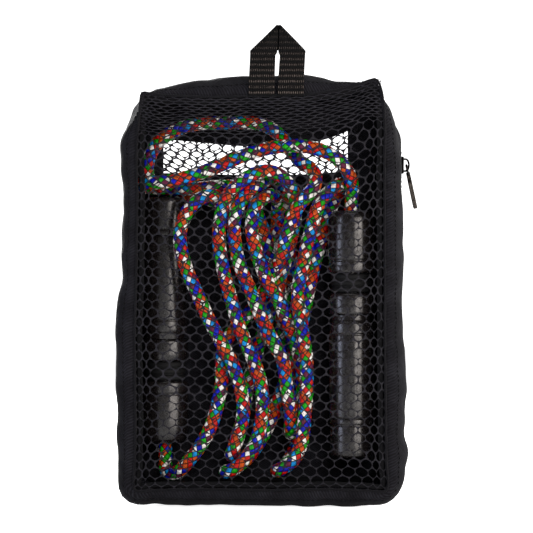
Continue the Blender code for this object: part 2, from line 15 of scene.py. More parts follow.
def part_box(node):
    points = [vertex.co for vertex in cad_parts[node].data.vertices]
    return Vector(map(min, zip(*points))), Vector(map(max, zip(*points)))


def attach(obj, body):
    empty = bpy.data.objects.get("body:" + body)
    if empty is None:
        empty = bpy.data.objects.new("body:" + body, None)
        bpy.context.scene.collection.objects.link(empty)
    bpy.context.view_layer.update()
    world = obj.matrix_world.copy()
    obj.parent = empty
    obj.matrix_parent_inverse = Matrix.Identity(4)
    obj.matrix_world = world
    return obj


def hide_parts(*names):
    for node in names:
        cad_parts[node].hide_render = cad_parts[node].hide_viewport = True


noise.seed_set(3)  # the nets' creases come out the same each run
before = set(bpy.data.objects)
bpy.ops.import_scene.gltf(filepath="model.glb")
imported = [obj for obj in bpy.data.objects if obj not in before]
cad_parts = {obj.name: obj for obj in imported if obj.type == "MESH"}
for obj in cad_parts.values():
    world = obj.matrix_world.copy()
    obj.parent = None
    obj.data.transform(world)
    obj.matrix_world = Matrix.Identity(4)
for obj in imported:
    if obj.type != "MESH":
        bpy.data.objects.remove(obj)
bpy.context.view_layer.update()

MM = 0.001
TAU = math.tau
WAVE = TAU / 20  # a wave texture of this scale repeats once a metre

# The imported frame's own sizes
NET_LOW, NET_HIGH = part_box("front_mesh_panel")
BACK_LOW, BACK_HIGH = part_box("back_fabric_panel")
PANE_LOW, PANE_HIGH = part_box("back_mesh_window")
LOOP_LOW, LOOP_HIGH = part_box("hang_loop")
TAPE_LOW, TAPE_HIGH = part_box("zip_tape_front")
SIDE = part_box("right_gusset_front")[1].x  # outer face of the cloth beside the zip
FRONT, BACK = NET_LOW.y, BACK_HIGH.y
SEAM_BOTTOM, SEAM_TOP = NET_LOW.z, NET_HIGH.z
MIDDLE = (SEAM_BOTTOM + SEAM_TOP) / 2

# Camera: straight at the net front
VIEW_DISTANCE = 2.0
VIEW_WIDTH = 306.5 * MM  # what the frame takes in at the net
VIEW_ACROSS = 3.45 * MM
VIEW_UP = 138.9 * MM
SENSOR = 36 * MM

# Front seam of the pouch, as (across, up, how far the gusset stands out beyond it), in millimetres,
# anticlockwise from the bottom left
SEAM = [
    (-62, 10.6, 9.6), (-40, 11, 10.2), (-20, 11, 10), (0, 10.6, 10.2), (20, 10.8, 10.6), (42, 11, 10.8),
    (60, 10.4, 10.2), (69, 9.6, 8.6), (72.4, 11, 7.8), (73, 16, 10.8), (72.2, 24, 12.6), (72, 33, 13),
    (71.8, 44, 11.4), (71.6, 64, 13.2), (71.3, 84, 12.4), (71.2, 103, 11.2), (71.2, 120, 11),
    (71.2, 138, 11.8), (71, 160, 11.6), (71, 182, 10.8), (71, 200, 10.4), (71.3, 213, 9), (71, 225, 5.4),
    (70, 236, 1), (68.2, 243.5, -1.4), (66, 246.4, -2), (62, 245.4, 0.4), (55, 242.8, 3.4),
    (45, 240.3, 6.2), (36, 238.8, 10), (25, 237.4, 13.2), (9, 236.8, 12.6), (-7, 236.5, 12.4),
    (-25, 236, 11.6), (-40, 236.4, 9.2), (-54, 237, 5.8), (-63, 238, 2.2), (-67.6, 238.6, -1.6),
    (-68.6, 235.5, -1), (-69, 231, 0.8), (-69.8, 223, 4.8), (-70.6, 213, 9.6), (-71, 200, 9.8),
    (-70.6, 180, 8.8), (-70.8, 160, 9.3), (-71, 145, 9.4), (-71.2, 131, 9), (-71.5, 120, 10.7),
    (-72, 106, 12.1), (-72, 90, 12.1), (-71.8, 68, 12), (-71.6, 45, 11.8), (-72, 27, 11),
    (-72.8, 15.5, 10.2), (-72.4, 10.8, 9.8), (-69, 9.6, 9),
]
FLAT = 14 * MM  # half the depth of the gusset's flat middle
CLOTH = 1.0 * MM
BACK_CORNER = 9 * MM  # corner radius of the back seam
ZIP_FLANK = 60 * MM  # the gusset further right than this is the side with the zip
ZIP_VALLEY = 8.4 * MM  # the cloth stays level with the frame this far either side of the zip
ZIP_LIP = 3.4 * MM  # half the gap between the folded edges of cloth over the coils

# Net
CELL_WIDE = 7.2 * MM
CELL_TALL = 4.8 * MM  # row to row
GATHER = 22 * MM  # height of the band below the top seam where the rows crowd together
CELL_SIDE = 2.0 * MM  # upright part of a cell, where two threads run together
THREAD = 0.55 * MM

STITCH = 2.8 * MM  # from one lock stitch to the next
PULL_LEAN = math.radians(12)  # the puller's lean out from the zip at rest

# Rope: one braided strand, 12 yarns, six each way round
ROPE = 8 * MM
BRAID_LEAD = 27 * MM  # one turn of a yarn round the rope
YARNS = 6
RUNS = [
    # out of the right handle and across the top
    (52.5, -8, 163.5), (52.5, -8, 173), (53, -10, 181), (52.5, -14, 188.5), (48.5, -18, 196.5),
    (40.5, -20.5, 203.5), (29, -21, 207.5), (16, -21, 208.5), (2, -21, 206.5), (-12, -21, 202),
    (-25, -21, 196.5), (-37.5, -21, 192), (-50, -20.5, 188.5), (-60, -18, 187.5), (-67, -13, 187),
    (-69.5, -7, 186), (-66.5, -1, 185), (-59, 1, 184.5), (-48, 1, 184.5), (-36, 0, 184.5),
    (-24.5, 0, 185.5), (-14.3, 2, 185),
    # down behind, up in front
    (-7, 3.5, 179.5), (-1.5, 5, 168.5), (4.5, 5, 151), (9.5, 5, 131), (14.5, 5, 111), (19.5, 5, 91),
    (22, 5.5, 72), (23.5, 4.5, 60), (24, -1, 51.5), (24.5, -8, 51.5), (24.5, -12.5, 58),
    (24.5, -12.5, 68), (23.5, -12, 82), (20, -12.5, 95), (15.5, -16, 107), (10, -20, 120),
    (3, -20.5, 133), (-2.5, -20.5, 147), (-5, -20.5, 160), (-4.5, -20.5, 168.5), (-2.5, -19, 174.5),
    (2, -13, 178.5), (6.5, -4, 180.5),
    (9.5, 5, 178.5), (10, 12, 172), (10, 14, 162.5), (10.5, 14, 142.5), (12, 14, 119.5),
    (13.5, 14, 96.5), (16, 13, 76.5), (17, 10, 59), (17.5, 3, 47.5), (17.5, -5, 42), (17.5, -13, 46),
    (17, -18, 57.5), (15, -19.5, 70.5), (13, -20, 84), (8.5, -20.5, 93.5), (1, -20.5, 108),
    (-6, -20.5, 125.5), (-12, -20.5, 139.5), (-15, -20.5, 155), (-15, -20.5, 165.5),
    (-13.5, -20.5, 172), (-9.5, -18.5, 180), (-3.5, -13, 185), (2, -5, 188), (6.5, 4, 190.5),
    (10, 13, 188.5), (13, 19, 180), (16, 21, 162.5), (18, 21, 139.5), (20, 21, 116.5),
    (21.5, 21, 93.5), (22.5, 21, 70.5), (22.5, 19, 50.5), (21, 14, 36), (17.5, 6, 27.5),
    (13.5, -3, 22.5), (9.5, -11, 20.5),
    (12, -18.5, 22), (19.5, -20.5, 28), (24, -20.5, 39), (25.5, -20.5, 53.5), (26.5, -20.5, 68),
    (26.5, -20.5, 84), (24.5, -20.5, 99.5), (22, -20.5, 115), (22, -20.5, 128), (25, -20.5, 142.5),
    (28, -20.5, 156), (31.5, -20.5, 169), (36, -19, 178), (42.5, -14, 184.5), (46.5, -5, 186.5),
    (45.5, 4, 183),
    (41.5, 7, 173.5), (36.5, 4, 158.5), (32, -1, 142.5), (28, -4, 125.5), (24.5, -4, 108),
    (20.5, -4, 92.5), (16, -4, 77), (10.5, -4, 62), (5.5, -4, 48.5), (-1.5, -3, 35.5), (-8, -2.5, 27),
    (-15, -3.5, 22), (-20, -10, 20), (-18.5, -17, 20.5),
    (-11.5, -20.5, 25), (-3.5, -20.5, 36), (0.5, -20.5, 50.5), (1, -20.5, 65), (-2, -20.5, 79.5),
    (-8, -20.5, 93.5), (-13.5, -20.5, 108), (-18, -20.5, 123.5), (-22, -20.5, 139.5),
    (-24, -20.5, 155), (-22.5, -20.5, 170), (-18, -20.5, 181), (-9, -20.5, 189.5), (3, -20.5, 194),
    (13, -19, 190.5), (18.5, -13, 183),
    (20.5, -8, 173.5), (18.5, -4, 158.5), (14, -4, 141.5), (8.5, -4, 122.5), (2, -4, 102.5),
    (-3.5, -4, 84), (-8, -4, 66.5), (-10.5, -4, 50.5), (-13, -3, 42), (-15.5, -5, 34),
    (-17, -12, 29.5), (-15.5, -18.5, 33.5),
    (-12.5, -20.5, 42), (-10.5, -20.5, 50), (-10, -20.5, 59), (-12, -20.5, 70.5),
    (-16.5, -20.5, 83.5), (-23.5, -20.5, 96.5), (-31, -20.5, 111), (-38, -20.5, 126.5),
    (-44, -20.5, 141.5), (-46.5, -20.5, 156.5), (-42.5, -20.5, 170), (-35, -20, 178),
    (-27.5, -17, 180), (-22, -9, 177.5), (-22, 0, 176.5), (-28, 8, 177.5),
    # round the top, down the middle and into the left handle
    (-37, 11, 180), (-48.5, 12, 182.5), (-58.5, 12, 184.5), (-65.5, 11, 190.5), (-66, 10, 200),
    (-61.5, 10, 209.5), (-55, 9, 215.5), (-46.5, 9, 220), (-35, 9, 222.5), (-22, 8, 223),
    (-9, 6, 223), (2, 3, 221.5), (10.5, -1, 216), (16.5, -5.5, 208), (21.5, -9, 201.5),
    (25, -11, 198.5), (28.5, -14, 196),
    (31.5, -17, 192), (31.5, -19.5, 186), (27.5, -20.5, 180.5), (22.5, -20.5, 174.5),
    (18.5, -20.5, 167), (15, -20.5, 157), (12, -17.5, 145), (5.5, -12.5, 130.5), (-3, -12, 116.5),
    (-13, -12, 105), (-20, -12, 95.5),
    (-22, -11.5, 88), (-22.5, -14, 79), (-22.5, -15.5, 71), (-24.5, -17, 61), (-27.5, -17, 49.5),
    (-32.5, -17, 39), (-39, -15, 29.5), (-45.5, -12, 22), (-51, -7, 18.5), (-55, -2, 20.5),
    (-55.5, 0, 28), (-55.5, 0, 44),
]


def curve_through(knots, spacing, closed=False):
    """Evenly spaced points along a smooth curve through the knots, with the distance run at each."""
    if closed:
        ends = [knots[-1], *knots, knots[0], knots[1]]
    else:
        ends = [2 * knots[0] - knots[1], *knots, 2 * knots[-1] - knots[-2]]
    fine = []
    steps = 12
    for before, start, end, after in zip(ends, ends[1:], ends[2:], ends[3:]):
        for step in range(steps):
            t = step / steps
            fine.append(
                0.5 * (2 * start + (end - before) * t + (2 * before - 5 * start + 4 * end - after) * t**2
                       + (3 * start - before - 3 * end + after) * t**3)
            )
    fine.append(ends[-2].copy())
    run = [0.0]
    for one, two in zip(fine, fine[1:]):
        run.append(run[-1] + (two - one).length)
    count = max(2, round(run[-1] / spacing))
    points = []
    at = 0
    for step in range(count + 1):
        goal = run[-1] * step / count
        while at < len(run) - 2 and run[at + 1] < goal:
            at += 1
        share = (goal - run[at]) / max(1e-12, run[at + 1] - run[at])
        points.append(fine[at].lerp(fine[at + 1], min(1.0, share)))
    return points, run[-1]


def ease(value):
    value = min(1.0, max(0.0, value))
    return value * value * (3 - 2 * value)


# Materials


def linear(hex_colour):
    """A linear colour from an sRGB hex value."""
    channels = [int(hex_colour[i : i + 2], 16) / 255 for i in (1, 3, 5)]
    return (*(c / 12.92 if c <= 0.04045 else ((c + 0.055) / 1.055) ** 2.4 for c in channels), 1.0)


def add(tree, kind, settings=None, result=0, **links):
    """Adds a node with its settings and links, and gives one of its outputs.

    A link is named after its input, or in_ and the input's number, and its source may be a number.
    """
    node = tree.nodes.new("ShaderNode" + kind)
    for name, value in (settings or {}).items():
        if name == "stops":
            elements = node.color_ramp.elements
            while len(elements) < len(value):
                elements.new(0.5)
            for element, (place, colour) in zip(elements, value):
                element.position = place
                element.color = linear(colour)
        elif name == "interpolation":
            node.color_ramp.interpolation = value
        elif hasattr(node, name):
            setattr(node, name, value)
        else:
            node.inputs[name].default_value = value
    for name, source in links.items():
        socket = node.inputs[int(name[3:]) if name.startswith("in_") else name]
        if isinstance(source, (int, float)):
            socket.default_value = source
        else:
            tree.links.new(source, socket)
    return node.outputs[result]


def new_material(name, settings, coordinates="UV"):
    """A material with its shader's constant settings, and where its patterns are laid out."""
    made = bpy.data.materials.new(name)
    made.use_nodes = True
    tree = made.node_tree
    shader = tree.nodes["Principled BSDF"]
    for socket, value in settings.items():
        shader.inputs[socket].default_value = value
    return made, tree, shader, add(tree, "TexCoord", result=coordinates)


def connect(tree, source, shader, socket):
    tree.links.new(source, shader.inputs[socket])


def twill_cloth():
    """Black polyester twill: a matt cloth whose fine diagonal ribs catch a grey light."""
    made, tree, shader, place = new_material("black_polyester_twill", {
        "Roughness": 0.85, "Specular IOR Level": 0.08, "Sheen Weight": 0.02, "Sheen Roughness": 0.4,
    })
    turned = add(tree, "Mapping", {"Rotation": (0, 0, math.radians(58))}, Vector=place)
    ribs = add(tree, "TexWave", {"bands_direction": "X", "Scale": WAVE / (0.9 * MM), "Distortion": 0.6,
                                 "Detail": 1.0, "Detail Scale": 2.0}, "Fac", Vector=turned)
    fuzz = add(tree, "TexNoise", {"Scale": 1 / (0.9 * MM), "Detail": 2.0}, "Fac", Vector=place)
    # Large soft blotches where the black is a little lighter or darker, at random
    tone_blotches = add(tree, "TexNoise", {"Scale": 1 / (11 * MM), "Detail": 4.0}, "Fac", Vector=place)
    creases = add(tree, "TexNoise", {"Scale": 1 / (17 * MM), "Detail": 2.0, "Distortion": 1.2}, "Fac",
                  Vector=place)
    mixed = add(tree, "Math", {"operation": "MULTIPLY"}, in_0=tone_blotches, in_1=0.55)
    for pattern, share in ((fuzz, 0.35), (ribs, 0.3)):
        mixed = add(tree, "Math", {"operation": "MULTIPLY_ADD"}, in_0=pattern, in_1=share, in_2=mixed)
    blacks = [(0.3, "#050506"), (0.6, "#0f0e11"), (0.85, "#202024")]
    black = add(tree, "ValToRGB", {"stops": blacks}, Fac=mixed)
    connect(tree, black, shader, "Base Color")
    height = add(tree, "Math", {"operation": "MULTIPLY_ADD"}, in_0=mixed, in_1=0.07, in_2=creases)
    relief = add(tree, "Bump", {"Strength": 0.7, "Distance": 2.2 * MM}, Height=height)
    connect(tree, relief, shader, "Normal")
    return made


def net_thread():
    """Black knitted polyester thread: satin, so each thread shows a thin grey line of light."""
    made, tree, shader, place = new_material(
        "black_net_thread", {"Roughness": 0.6, "Specular IOR Level": 0.12, "Sheen Weight": 0.02}, "Object"
    )
    ply = add(tree, "TexNoise", {"Scale": 1 / (0.8 * MM), "Detail": 2.0}, "Fac", Vector=place)
    black = add(tree, "ValToRGB", {"stops": [(0.3, "#0d0c0f"), (0.7, "#201f24")]}, Fac=ply)
    connect(tree, black, shader, "Base Color")
    connect(tree, add(tree, "Bump", {"Strength": 0.7, "Distance": 0.15 * MM}, Height=ply), shader, "Normal")
    return made


def woven_tape(name, pitch, low, high):
    """Narrow woven polyester: ribs across the tape, matt."""
    made, tree, shader, place = new_material(name, {"Roughness": 0.72, "Specular IOR Level": 0.08})
    ribs = add(tree, "TexWave", {"bands_direction": "Y", "Scale": WAVE / pitch, "Distortion": 0.4}, "Fac",
               Vector=place)
    warp = add(tree, "TexWave", {"bands_direction": "X", "Scale": WAVE / (pitch * 0.8)}, "Fac", Vector=place)
    weave = add(tree, "Math", {"operation": "MULTIPLY"}, in_0=ribs, in_1=warp)
    black = add(tree, "ValToRGB", {"stops": [(0.15, low), (0.85, high)]}, Fac=weave)
    connect(tree, black, shader, "Base Color")
    connect(tree, add(tree, "Bump", {"Strength": 0.8, "Distance": 0.2 * MM}, Height=weave), shader, "Normal")
    return made


def strap_webbing():
    """Ribbed polypropylene webbing, black: rows of short warp floats between grooves; the colour follows the
    weave, with a painted warm pale highlight on the floats' tops and painted shade in the grooves.
    """
    made, tree, shader, place = new_material(
        "ribbed_webbing", {"Roughness": 0.7, "Specular IOR Level": 0.1}
    )
    floats = 1.0
    for way, pitch, wander, power in (("X", 1.05 * MM, 0.5, 1.5), ("Y", 3.2 * MM, 0.2, 1.1)):
        rows = add(tree, "TexWave", {"bands_direction": way, "Scale": WAVE / pitch, "Distortion": wander},
                   "Fac", Vector=place)
        rows = add(tree, "Math", {"operation": "POWER"}, in_0=rows, in_1=power)
        floats = add(tree, "Math", {"operation": "MULTIPLY"}, in_0=rows, in_1=floats)
    patchy = add(tree, "TexNoise", {"Scale": 1 / (1.6 * MM), "Detail": 1.0}, "Fac", Vector=place)
    patchy = add(tree, "Math", {"operation": "ADD"}, in_0=patchy, in_1=0.35)
    along = add(tree, "SeparateXYZ", result="Y", Vector=place)
    tone_shift = add(tree, "MapRange", {"From Max": 34 * MM, "To Min": 1.1, "To Max": 0.6},
               Value=along)  # paler towards the sewn ends, darker from 34 mm up towards the peak
    shown = floats
    for share in (patchy, tone_shift):
        shown = add(tree, "Math", {"operation": "MULTIPLY"}, in_0=shown, in_1=share)
    # Painted light: near black in the grooves between the floats (painted shade), up to a warm pale grey on
    # the floats' tops (painted highlight)
    painted_float_light_stops = [(0.12, "#030303"), (0.4, "#15120f"), (0.9, "#5a504b")]
    webbing_colour_with_painted_light = add(tree, "ValToRGB", {"stops": painted_float_light_stops}, Fac=shown)
    connect(tree, webbing_colour_with_painted_light, shader, "Base Color")
    connect(tree, add(tree, "Bump", {"Strength": 0.9, "Distance": 0.3 * MM}, Height=floats), shader, "Normal")
    return made


# Yarn colours round the rope, those that climb to the right and those that climb to the left
RIGHT_YARNS = ["#f4efe9", "#12960a", "#0716a8", "#0a86cc", "#bc130c", "#bc4a0c"]
LEFT_YARNS = ["#f4efe9", "#5c1638", "#0716a8", "#bc130c", "#bc4a0c", "#12960a"]


def braided_yarn():
    """Braided polypropylene yarn: saturated glossy filaments, crossing in rounded diamonds, with painted
    shade darkening the hollows between them.
    """
    made, tree, shader, place = new_material(
        "braided_polypropylene", {"Roughness": 0.42, "Specular IOR Level": 0.22}
    )
    # Turns round the rope, and turns that a yarn has made along it, both in yarn widths
    turn, rise = (
        add(tree, "Math", {"operation": "MULTIPLY"}, in_0=add(tree, "SeparateXYZ", result=way, Vector=place),
            in_1=yarns_per_metre)
        for way, yarns_per_metre in (("X", YARNS / (math.pi * ROPE)), ("Y", YARNS / BRAID_LEAD))
    )
    strands, cells, colours, crowns = [], [], [], []
    for way, yarns in (("ADD", RIGHT_YARNS), ("SUBTRACT", LEFT_YARNS)):
        strand = add(tree, "Math", {"operation": way}, in_0=turn, in_1=rise)
        cell = add(tree, "Math", {"operation": "FLOOR"}, in_0=strand)
        which = add(tree, "Math", {"operation": "FLOORED_MODULO"}, in_0=cell, in_1=YARNS)
        which = add(tree, "Math", {"operation": "MULTIPLY_ADD"}, in_0=which, in_1=1 / YARNS, in_2=0.5 / YARNS)
        stops = [(index / YARNS, colour) for index, colour in enumerate(yarns)]
        colours.append(add(tree, "ValToRGB", {"interpolation": "CONSTANT", "stops": stops}, Fac=which))
        crowns.append(add(tree, "Math", {"operation": "PINGPONG"}, in_0=strand, in_1=0.5))
        strands.append(strand)
        cells.append(cell)
    parity = add(tree, "Math", {"operation": "ADD"}, in_0=cells[0], in_1=cells[1])
    parity = add(tree, "Math", {"operation": "FLOORED_MODULO"}, in_0=parity, in_1=2.0)
    on_top = add(tree, "Math", {"operation": "GREATER_THAN"}, in_0=parity, in_1=0.5)
    shown = add(tree, "Mix", {"data_type": "RGBA"}, 2, in_0=on_top, in_6=colours[0], in_7=colours[1])
    # Distance from the diamond's edges, 0 at the edge and 1 in the middle
    crown = add(tree, "Math", {"operation": "MINIMUM"}, in_0=crowns[0], in_1=crowns[1])
    crown = add(tree, "Math", {"operation": "MULTIPLY"}, in_0=crown, in_1=2.0)
    # Filaments run along each yarn: fine across it, long along it
    streaks = []
    for fine in ((1.2, 9.0), (9.0, 1.2)):
        stretched = [add(tree, "Math", {"operation": "MULTIPLY"}, in_0=strand, in_1=scale)
                     for strand, scale in zip(strands, fine)]
        streaks.append(add(tree, "CombineXYZ", X=stretched[0], Y=stretched[1]))
    lines = add(tree, "Mix", {"data_type": "VECTOR"}, 1, in_0=on_top, in_4=streaks[0], in_5=streaks[1])
    filaments = add(tree, "TexNoise", {"Scale": 1.0, "Detail": 2.0}, "Fac", Vector=lines)
    # Painted shade: the colour falls to near black at the diamonds' edges, in the hollows where the yarns dip
    # under each other
    gap_shade_stops = [(0.0, "#060505"), (0.08, "#241f1f"), (0.24, "#ffffff")]
    painted_gap_shade = add(tree, "ValToRGB", {"stops": gap_shade_stops}, Fac=crown)
    streak = add(tree, "ValToRGB", {"stops": [(0.25, "#9a9a9a"), (0.75, "#ffffff")]}, Fac=filaments)
    for shade in (painted_gap_shade, streak):
        shown = add(tree, "Mix", {"data_type": "RGBA", "blend_type": "MULTIPLY", "Factor": 1.0}, 2,
                    in_6=shown, in_7=shade)
    connect(tree, shown, shader, "Base Color")
    swell = add(tree, "Math", {"operation": "POWER"}, in_0=crown, in_1=0.6)
    height = add(tree, "Math", {"operation": "MULTIPLY_ADD"}, in_0=filaments, in_1=0.25, in_2=swell)
    connect(tree, add(tree, "Bump", {"Strength": 0.8, "Distance": 0.6 * MM}, Height=height), shader, "Normal")
    return made


def moulded_plastic():
    """Polished injection-moulded ABS, black: a hard clear gloss, faint moulding ripple and fine scuffs."""
    made, tree, shader, place = new_material(
        "polished_abs", {"Base Color": linear("#100d0d"), "IOR": 1.54}, "Object"
    )
    ripple = add(tree, "TexNoise", {"Scale": 1 / (18 * MM), "Detail": 1.0}, "Fac", Vector=place)
    scuff = add(tree, "TexNoise", {"Scale": 1 / (2.4 * MM), "Detail": 5.0}, "Fac", Vector=place)
    rough = add(tree, "MapRange", {"From Min": 0.35, "From Max": 0.75, "To Min": 0.2, "To Max": 0.36},
                Value=scuff)
    connect(tree, rough, shader, "Roughness")
    relief = add(tree, "Bump", {"Strength": 0.35, "Distance": 0.4 * MM}, Height=ripple)
    connect(tree, relief, shader, "Normal")
    return made


def moulded_rubber():
    """Moulded rubber, black: matt, with a fine sparkle from the tool."""
    made, tree, shader, place = new_material(
        "moulded_rubber", {"Base Color": linear("#0b0b0c"), "Roughness": 0.7, "Specular IOR Level": 0.2},
        "Object",
    )
    grain = add(tree, "TexNoise", {"Scale": 1 / (0.6 * MM), "Detail": 2.0}, "Fac", Vector=place)
    connect(tree, add(tree, "Bump", {"Strength": 0.6, "Distance": 0.08 * MM}, Height=grain), shader, "Normal")
    return made


def plated_zinc(name, dark, light):
    """Plated zinc zip hardware: a smooth dark metal, brighter where fingers have polished it."""
    made, tree, shader, place = new_material(name, {"Metallic": 1.0}, "Object")
    tone_shift = add(tree, "TexNoise", {"Scale": 1 / (2.5 * MM), "Detail": 3.0}, "Fac", Vector=place)
    colour = add(tree, "ValToRGB", {"stops": [(0.3, dark), (0.7, light)]}, Fac=tone_shift)
    connect(tree, colour, shader, "Base Color")
    connect(tree, add(tree, "MapRange", {"To Min": 0.3, "To Max": 0.5}, Value=tone_shift), shader, "Roughness")
    return made


def coil_nylon():
    """Zip coil of black nylon monofilament: smooth and a little shiny."""
    made, tree, shader, place = new_material("nylon_coil", {"Roughness": 0.35}, "Object")
    tint = add(tree, "TexNoise", {"Scale": 1 / (3 * MM), "Detail": 2.0}, "Fac", Vector=place)
    black = add(tree, "ValToRGB", {"stops": [(0.3, "#111113"), (0.7, "#232327")]}, Fac=tint)
    connect(tree, black, shader, "Base Color")
    return made


def turned_metal(name, dark, light, roughness):
    """Turned metal: fine rings round the piece's axis."""
    made, tree, shader, place = new_material(name, {"Metallic": 1.0, "Roughness": roughness}, "Object")
    rings = add(tree, "TexWave", {"bands_direction": "Z", "Scale": WAVE / (0.5 * MM), "Distortion": 1.0},
                "Fac", Vector=place)
    colour = add(tree, "ValToRGB", {"stops": [(0.2, dark), (0.8, light)]}, Fac=rings)
    connect(tree, colour, shader, "Base Color")
    connect(tree, add(tree, "Bump", {"Strength": 0.5, "Distance": 0.04 * MM}, Height=rings), shader, "Normal")
    return made


# Making pieces


def finish_piece(name, bm, material, slot, body="pouch", sharp=None):
    """A piece out of a mesh, with its material and body; edges past the sharp angle stay hard. Its slot
    argument is not used.
    """
    mesh = bpy.data.meshes.new(name)
    bm.to_mesh(mesh)
    bm.free()
    mesh.materials.append(material)
    mesh.shade_smooth()
    if sharp is not None:
        mesh.set_sharp_from_angle(angle=math.radians(sharp))
    obj = bpy.data.objects.new(name, mesh)
    bpy.context.scene.collection.objects.link(obj)
    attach(obj, body)
    return obj


def flat_cloth(width, length, across, along):
    """A flat sheet from (0, 0) to (width, length), whose UV map keeps its flat place in metres."""
    bm = bmesh.new()
    bmesh.ops.create_grid(bm, x_segments=across, y_segments=along, size=0.5)
    flat = bm.loops.layers.uv.new("flat")
    for vert in bm.verts:
        vert.co = Vector(((vert.co.x + 0.5) * width, (vert.co.y + 0.5) * length, 0))
    for face in bm.faces:
        for corner in face.loops:
            corner[flat].uv = corner.vert.co.xy
    return bm


def bend(bm, shape):
    """Moves each point of a flat sheet to shape(across, along)."""
    for vert in bm.verts:
        vert.co = shape(vert.co.x, vert.co.y)


def cut(bm, place, normal, clear=False):
    """Cuts a mesh along a plane, and clears what lies beyond the plane if asked."""
    bmesh.ops.bisect_plane(bm, geom=bm.verts[:] + bm.edges[:] + bm.faces[:], plane_co=place, plane_no=normal,
                           clear_outer=clear)


def weld(bm, reach=0.01 * MM):
    """Joins points that meet, and turns the faces outwards."""
    bmesh.ops.remove_doubles(bm, verts=bm.verts, dist=reach)
    bmesh.ops.recalc_face_normals(bm, faces=bm.faces)


def join(parts, reach=0.02 * MM):
    """One mesh out of several, joined where they meet."""
    whole = bmesh.new()
    for part in parts:
        copy = bpy.data.meshes.new("part")
        part.to_mesh(copy)
        part.free()
        whole.from_mesh(copy)
        bpy.data.meshes.remove(copy)
    bmesh.ops.remove_doubles(whole, verts=whole.verts, dist=reach)
    return whole


def thicken(obj, thickness, offset=-1.0):
    modifier = obj.modifiers.new("thickness", "SOLIDIFY")
    modifier.thickness = thickness
    modifier.offset = offset


def round_off(obj):
    modifier = obj.modifiers.new("round", "SUBSURF")
    modifier.levels = modifier.render_levels = 1


def soften(obj, width, segments, angle):
    """Rounds the edges sharper than an angle in degrees."""
    bevel = obj.modifiers.new("edges", "BEVEL")
    bevel.width, bevel.segments, bevel.limit_method = width, segments, "ANGLE"
    bevel.angle_limit = math.radians(angle)


# Pouch


def seam_stations(spacing):
    """(seam point, outward direction, stand-out) round the front seam, evenly spaced."""
    points, length = curve_through([Vector(station) * MM for station in SEAM], spacing, closed=True)
    points.pop()
    stations = []
    for index, point in enumerate(points):
        ahead, behind = points[(index + 2) % len(points)], points[index - 2]
        along = Vector((ahead.x - behind.x, 0, ahead.y - behind.y)).normalized()
        out = Vector((along.z, 0, -along.x))
        stations.append((Vector((point.x, 0, point.y)), out, point.z))
    return stations, length


def back_seam_point(point):
    """The back seam's point behind a point of the front seam."""
    inner_x = (BACK_HIGH.x - BACK_LOW.x) / 2 - BACK_CORNER
    inner_z = (SEAM_TOP - SEAM_BOTTOM) / 2 - BACK_CORNER
    rise = point.z - MIDDLE
    core = Vector((min(inner_x, max(-inner_x, point.x)), 0, min(inner_z, max(-inner_z, rise))))
    away = Vector((point.x, 0, rise)) - core
    if away.length < 1e-6:
        away = Vector((point.x, 0, 0))
    return core + Vector((0, 0, MIDDLE)) + away.normalized() * BACK_CORNER


def gusset_point(station, depth):
    """A point of the gusset's outer face at a depth between the front and back seams."""
    seam, out, stand = station
    back_seam = back_seam_point(seam)
    share = ease((depth - FRONT) / (BACK - FRONT))
    base = seam.lerp(back_seam, share)
    beyond = max(0.0, abs(depth) - FLAT) / (BACK - FLAT)
    round_over = math.sqrt(max(0.0, 1 - beyond**2))
    if depth > 0:
        stand = stand + (10.4 * MM - stand) * 0.6 * ease(depth / BACK)
    crease = noise.noise(Vector((seam.x * 90, depth * 60, seam.z * 90)))
    pucker = noise.noise(Vector((seam.x * 330, 7.0, seam.z * 330))) * (1 - round_over)
    point = base + out * (stand * round_over + crease * 1.0 * MM * round_over + pucker * 0.8 * MM)
    point.y = depth
    if seam.x > ZIP_FLANK and abs(out.z) < 0.5:  # level beside the zip, where the frame holds the tapes
        hold = 1 - ease((abs(depth) - ZIP_VALLEY) / (4 * MM))
        fade = 12 * MM
        hold *= ease((seam.z - TAPE_LOW.z + fade) / fade) * ease((TAPE_HIGH.z + fade - seam.z) / fade)
        point.x += (SIDE + 0.2 * MM - point.x) * hold
    point.z = max(point.z, 0.0)
    return point


def make_gusset(cloth):
    """The band of cloth round the pouch, with a slot for the zip down its right side."""
    stations, length = seam_stations(1.6 * MM)
    count, rows = len(stations), 40
    bm = flat_cloth(length, BACK - FRONT, count, rows)

    def shape(along, depth):
        return gusset_point(stations[round(along * count / length) % count], FRONT + depth)

    bend(bm, shape)
    bmesh.ops.remove_doubles(bm, verts=bm.verts, dist=0.01 * MM)
    slot_low, slot_high = TAPE_LOW.z - 0.5 * MM, TAPE_HIGH.z + 0.5 * MM
    for height in (slot_low, slot_high):
        cut(bm, (0, 0, height), (0, 0, 1))
    for side in (-1, 1):
        cut(bm, (0, side * ZIP_LIP, 0), (0, 1, 0))
    middles = [(face, face.calc_center_median()) for face in bm.faces]
    slot = [face for face, middle in middles
            if middle.x > ZIP_FLANK and abs(middle.y) < ZIP_LIP and slot_low < middle.z < slot_high]
    bmesh.ops.delete(bm, geom=slot, context="FACES")
    bmesh.ops.recalc_face_normals(bm, faces=bm.faces)
    gusset = finish_piece("gusset_cloth", bm, cloth, "cloth")
    thicken(gusset, CLOTH)
    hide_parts("top_gusset", "bottom_gusset", "left_gusset", "right_gusset_front",
                "right_gusset_rear", "right_gusset_lower", "right_gusset_upper")


def interpolated(pairs, value):
    """The second number of sorted pairs at a value of the first."""
    for (low, start), (high, end) in zip(pairs, pairs[1:]):
        if value <= high:
            share = min(1.0, max(0.0, (value - low) / max(1e-9, high - low)))
            return start + (end - start) * share
    return pairs[-1][1]


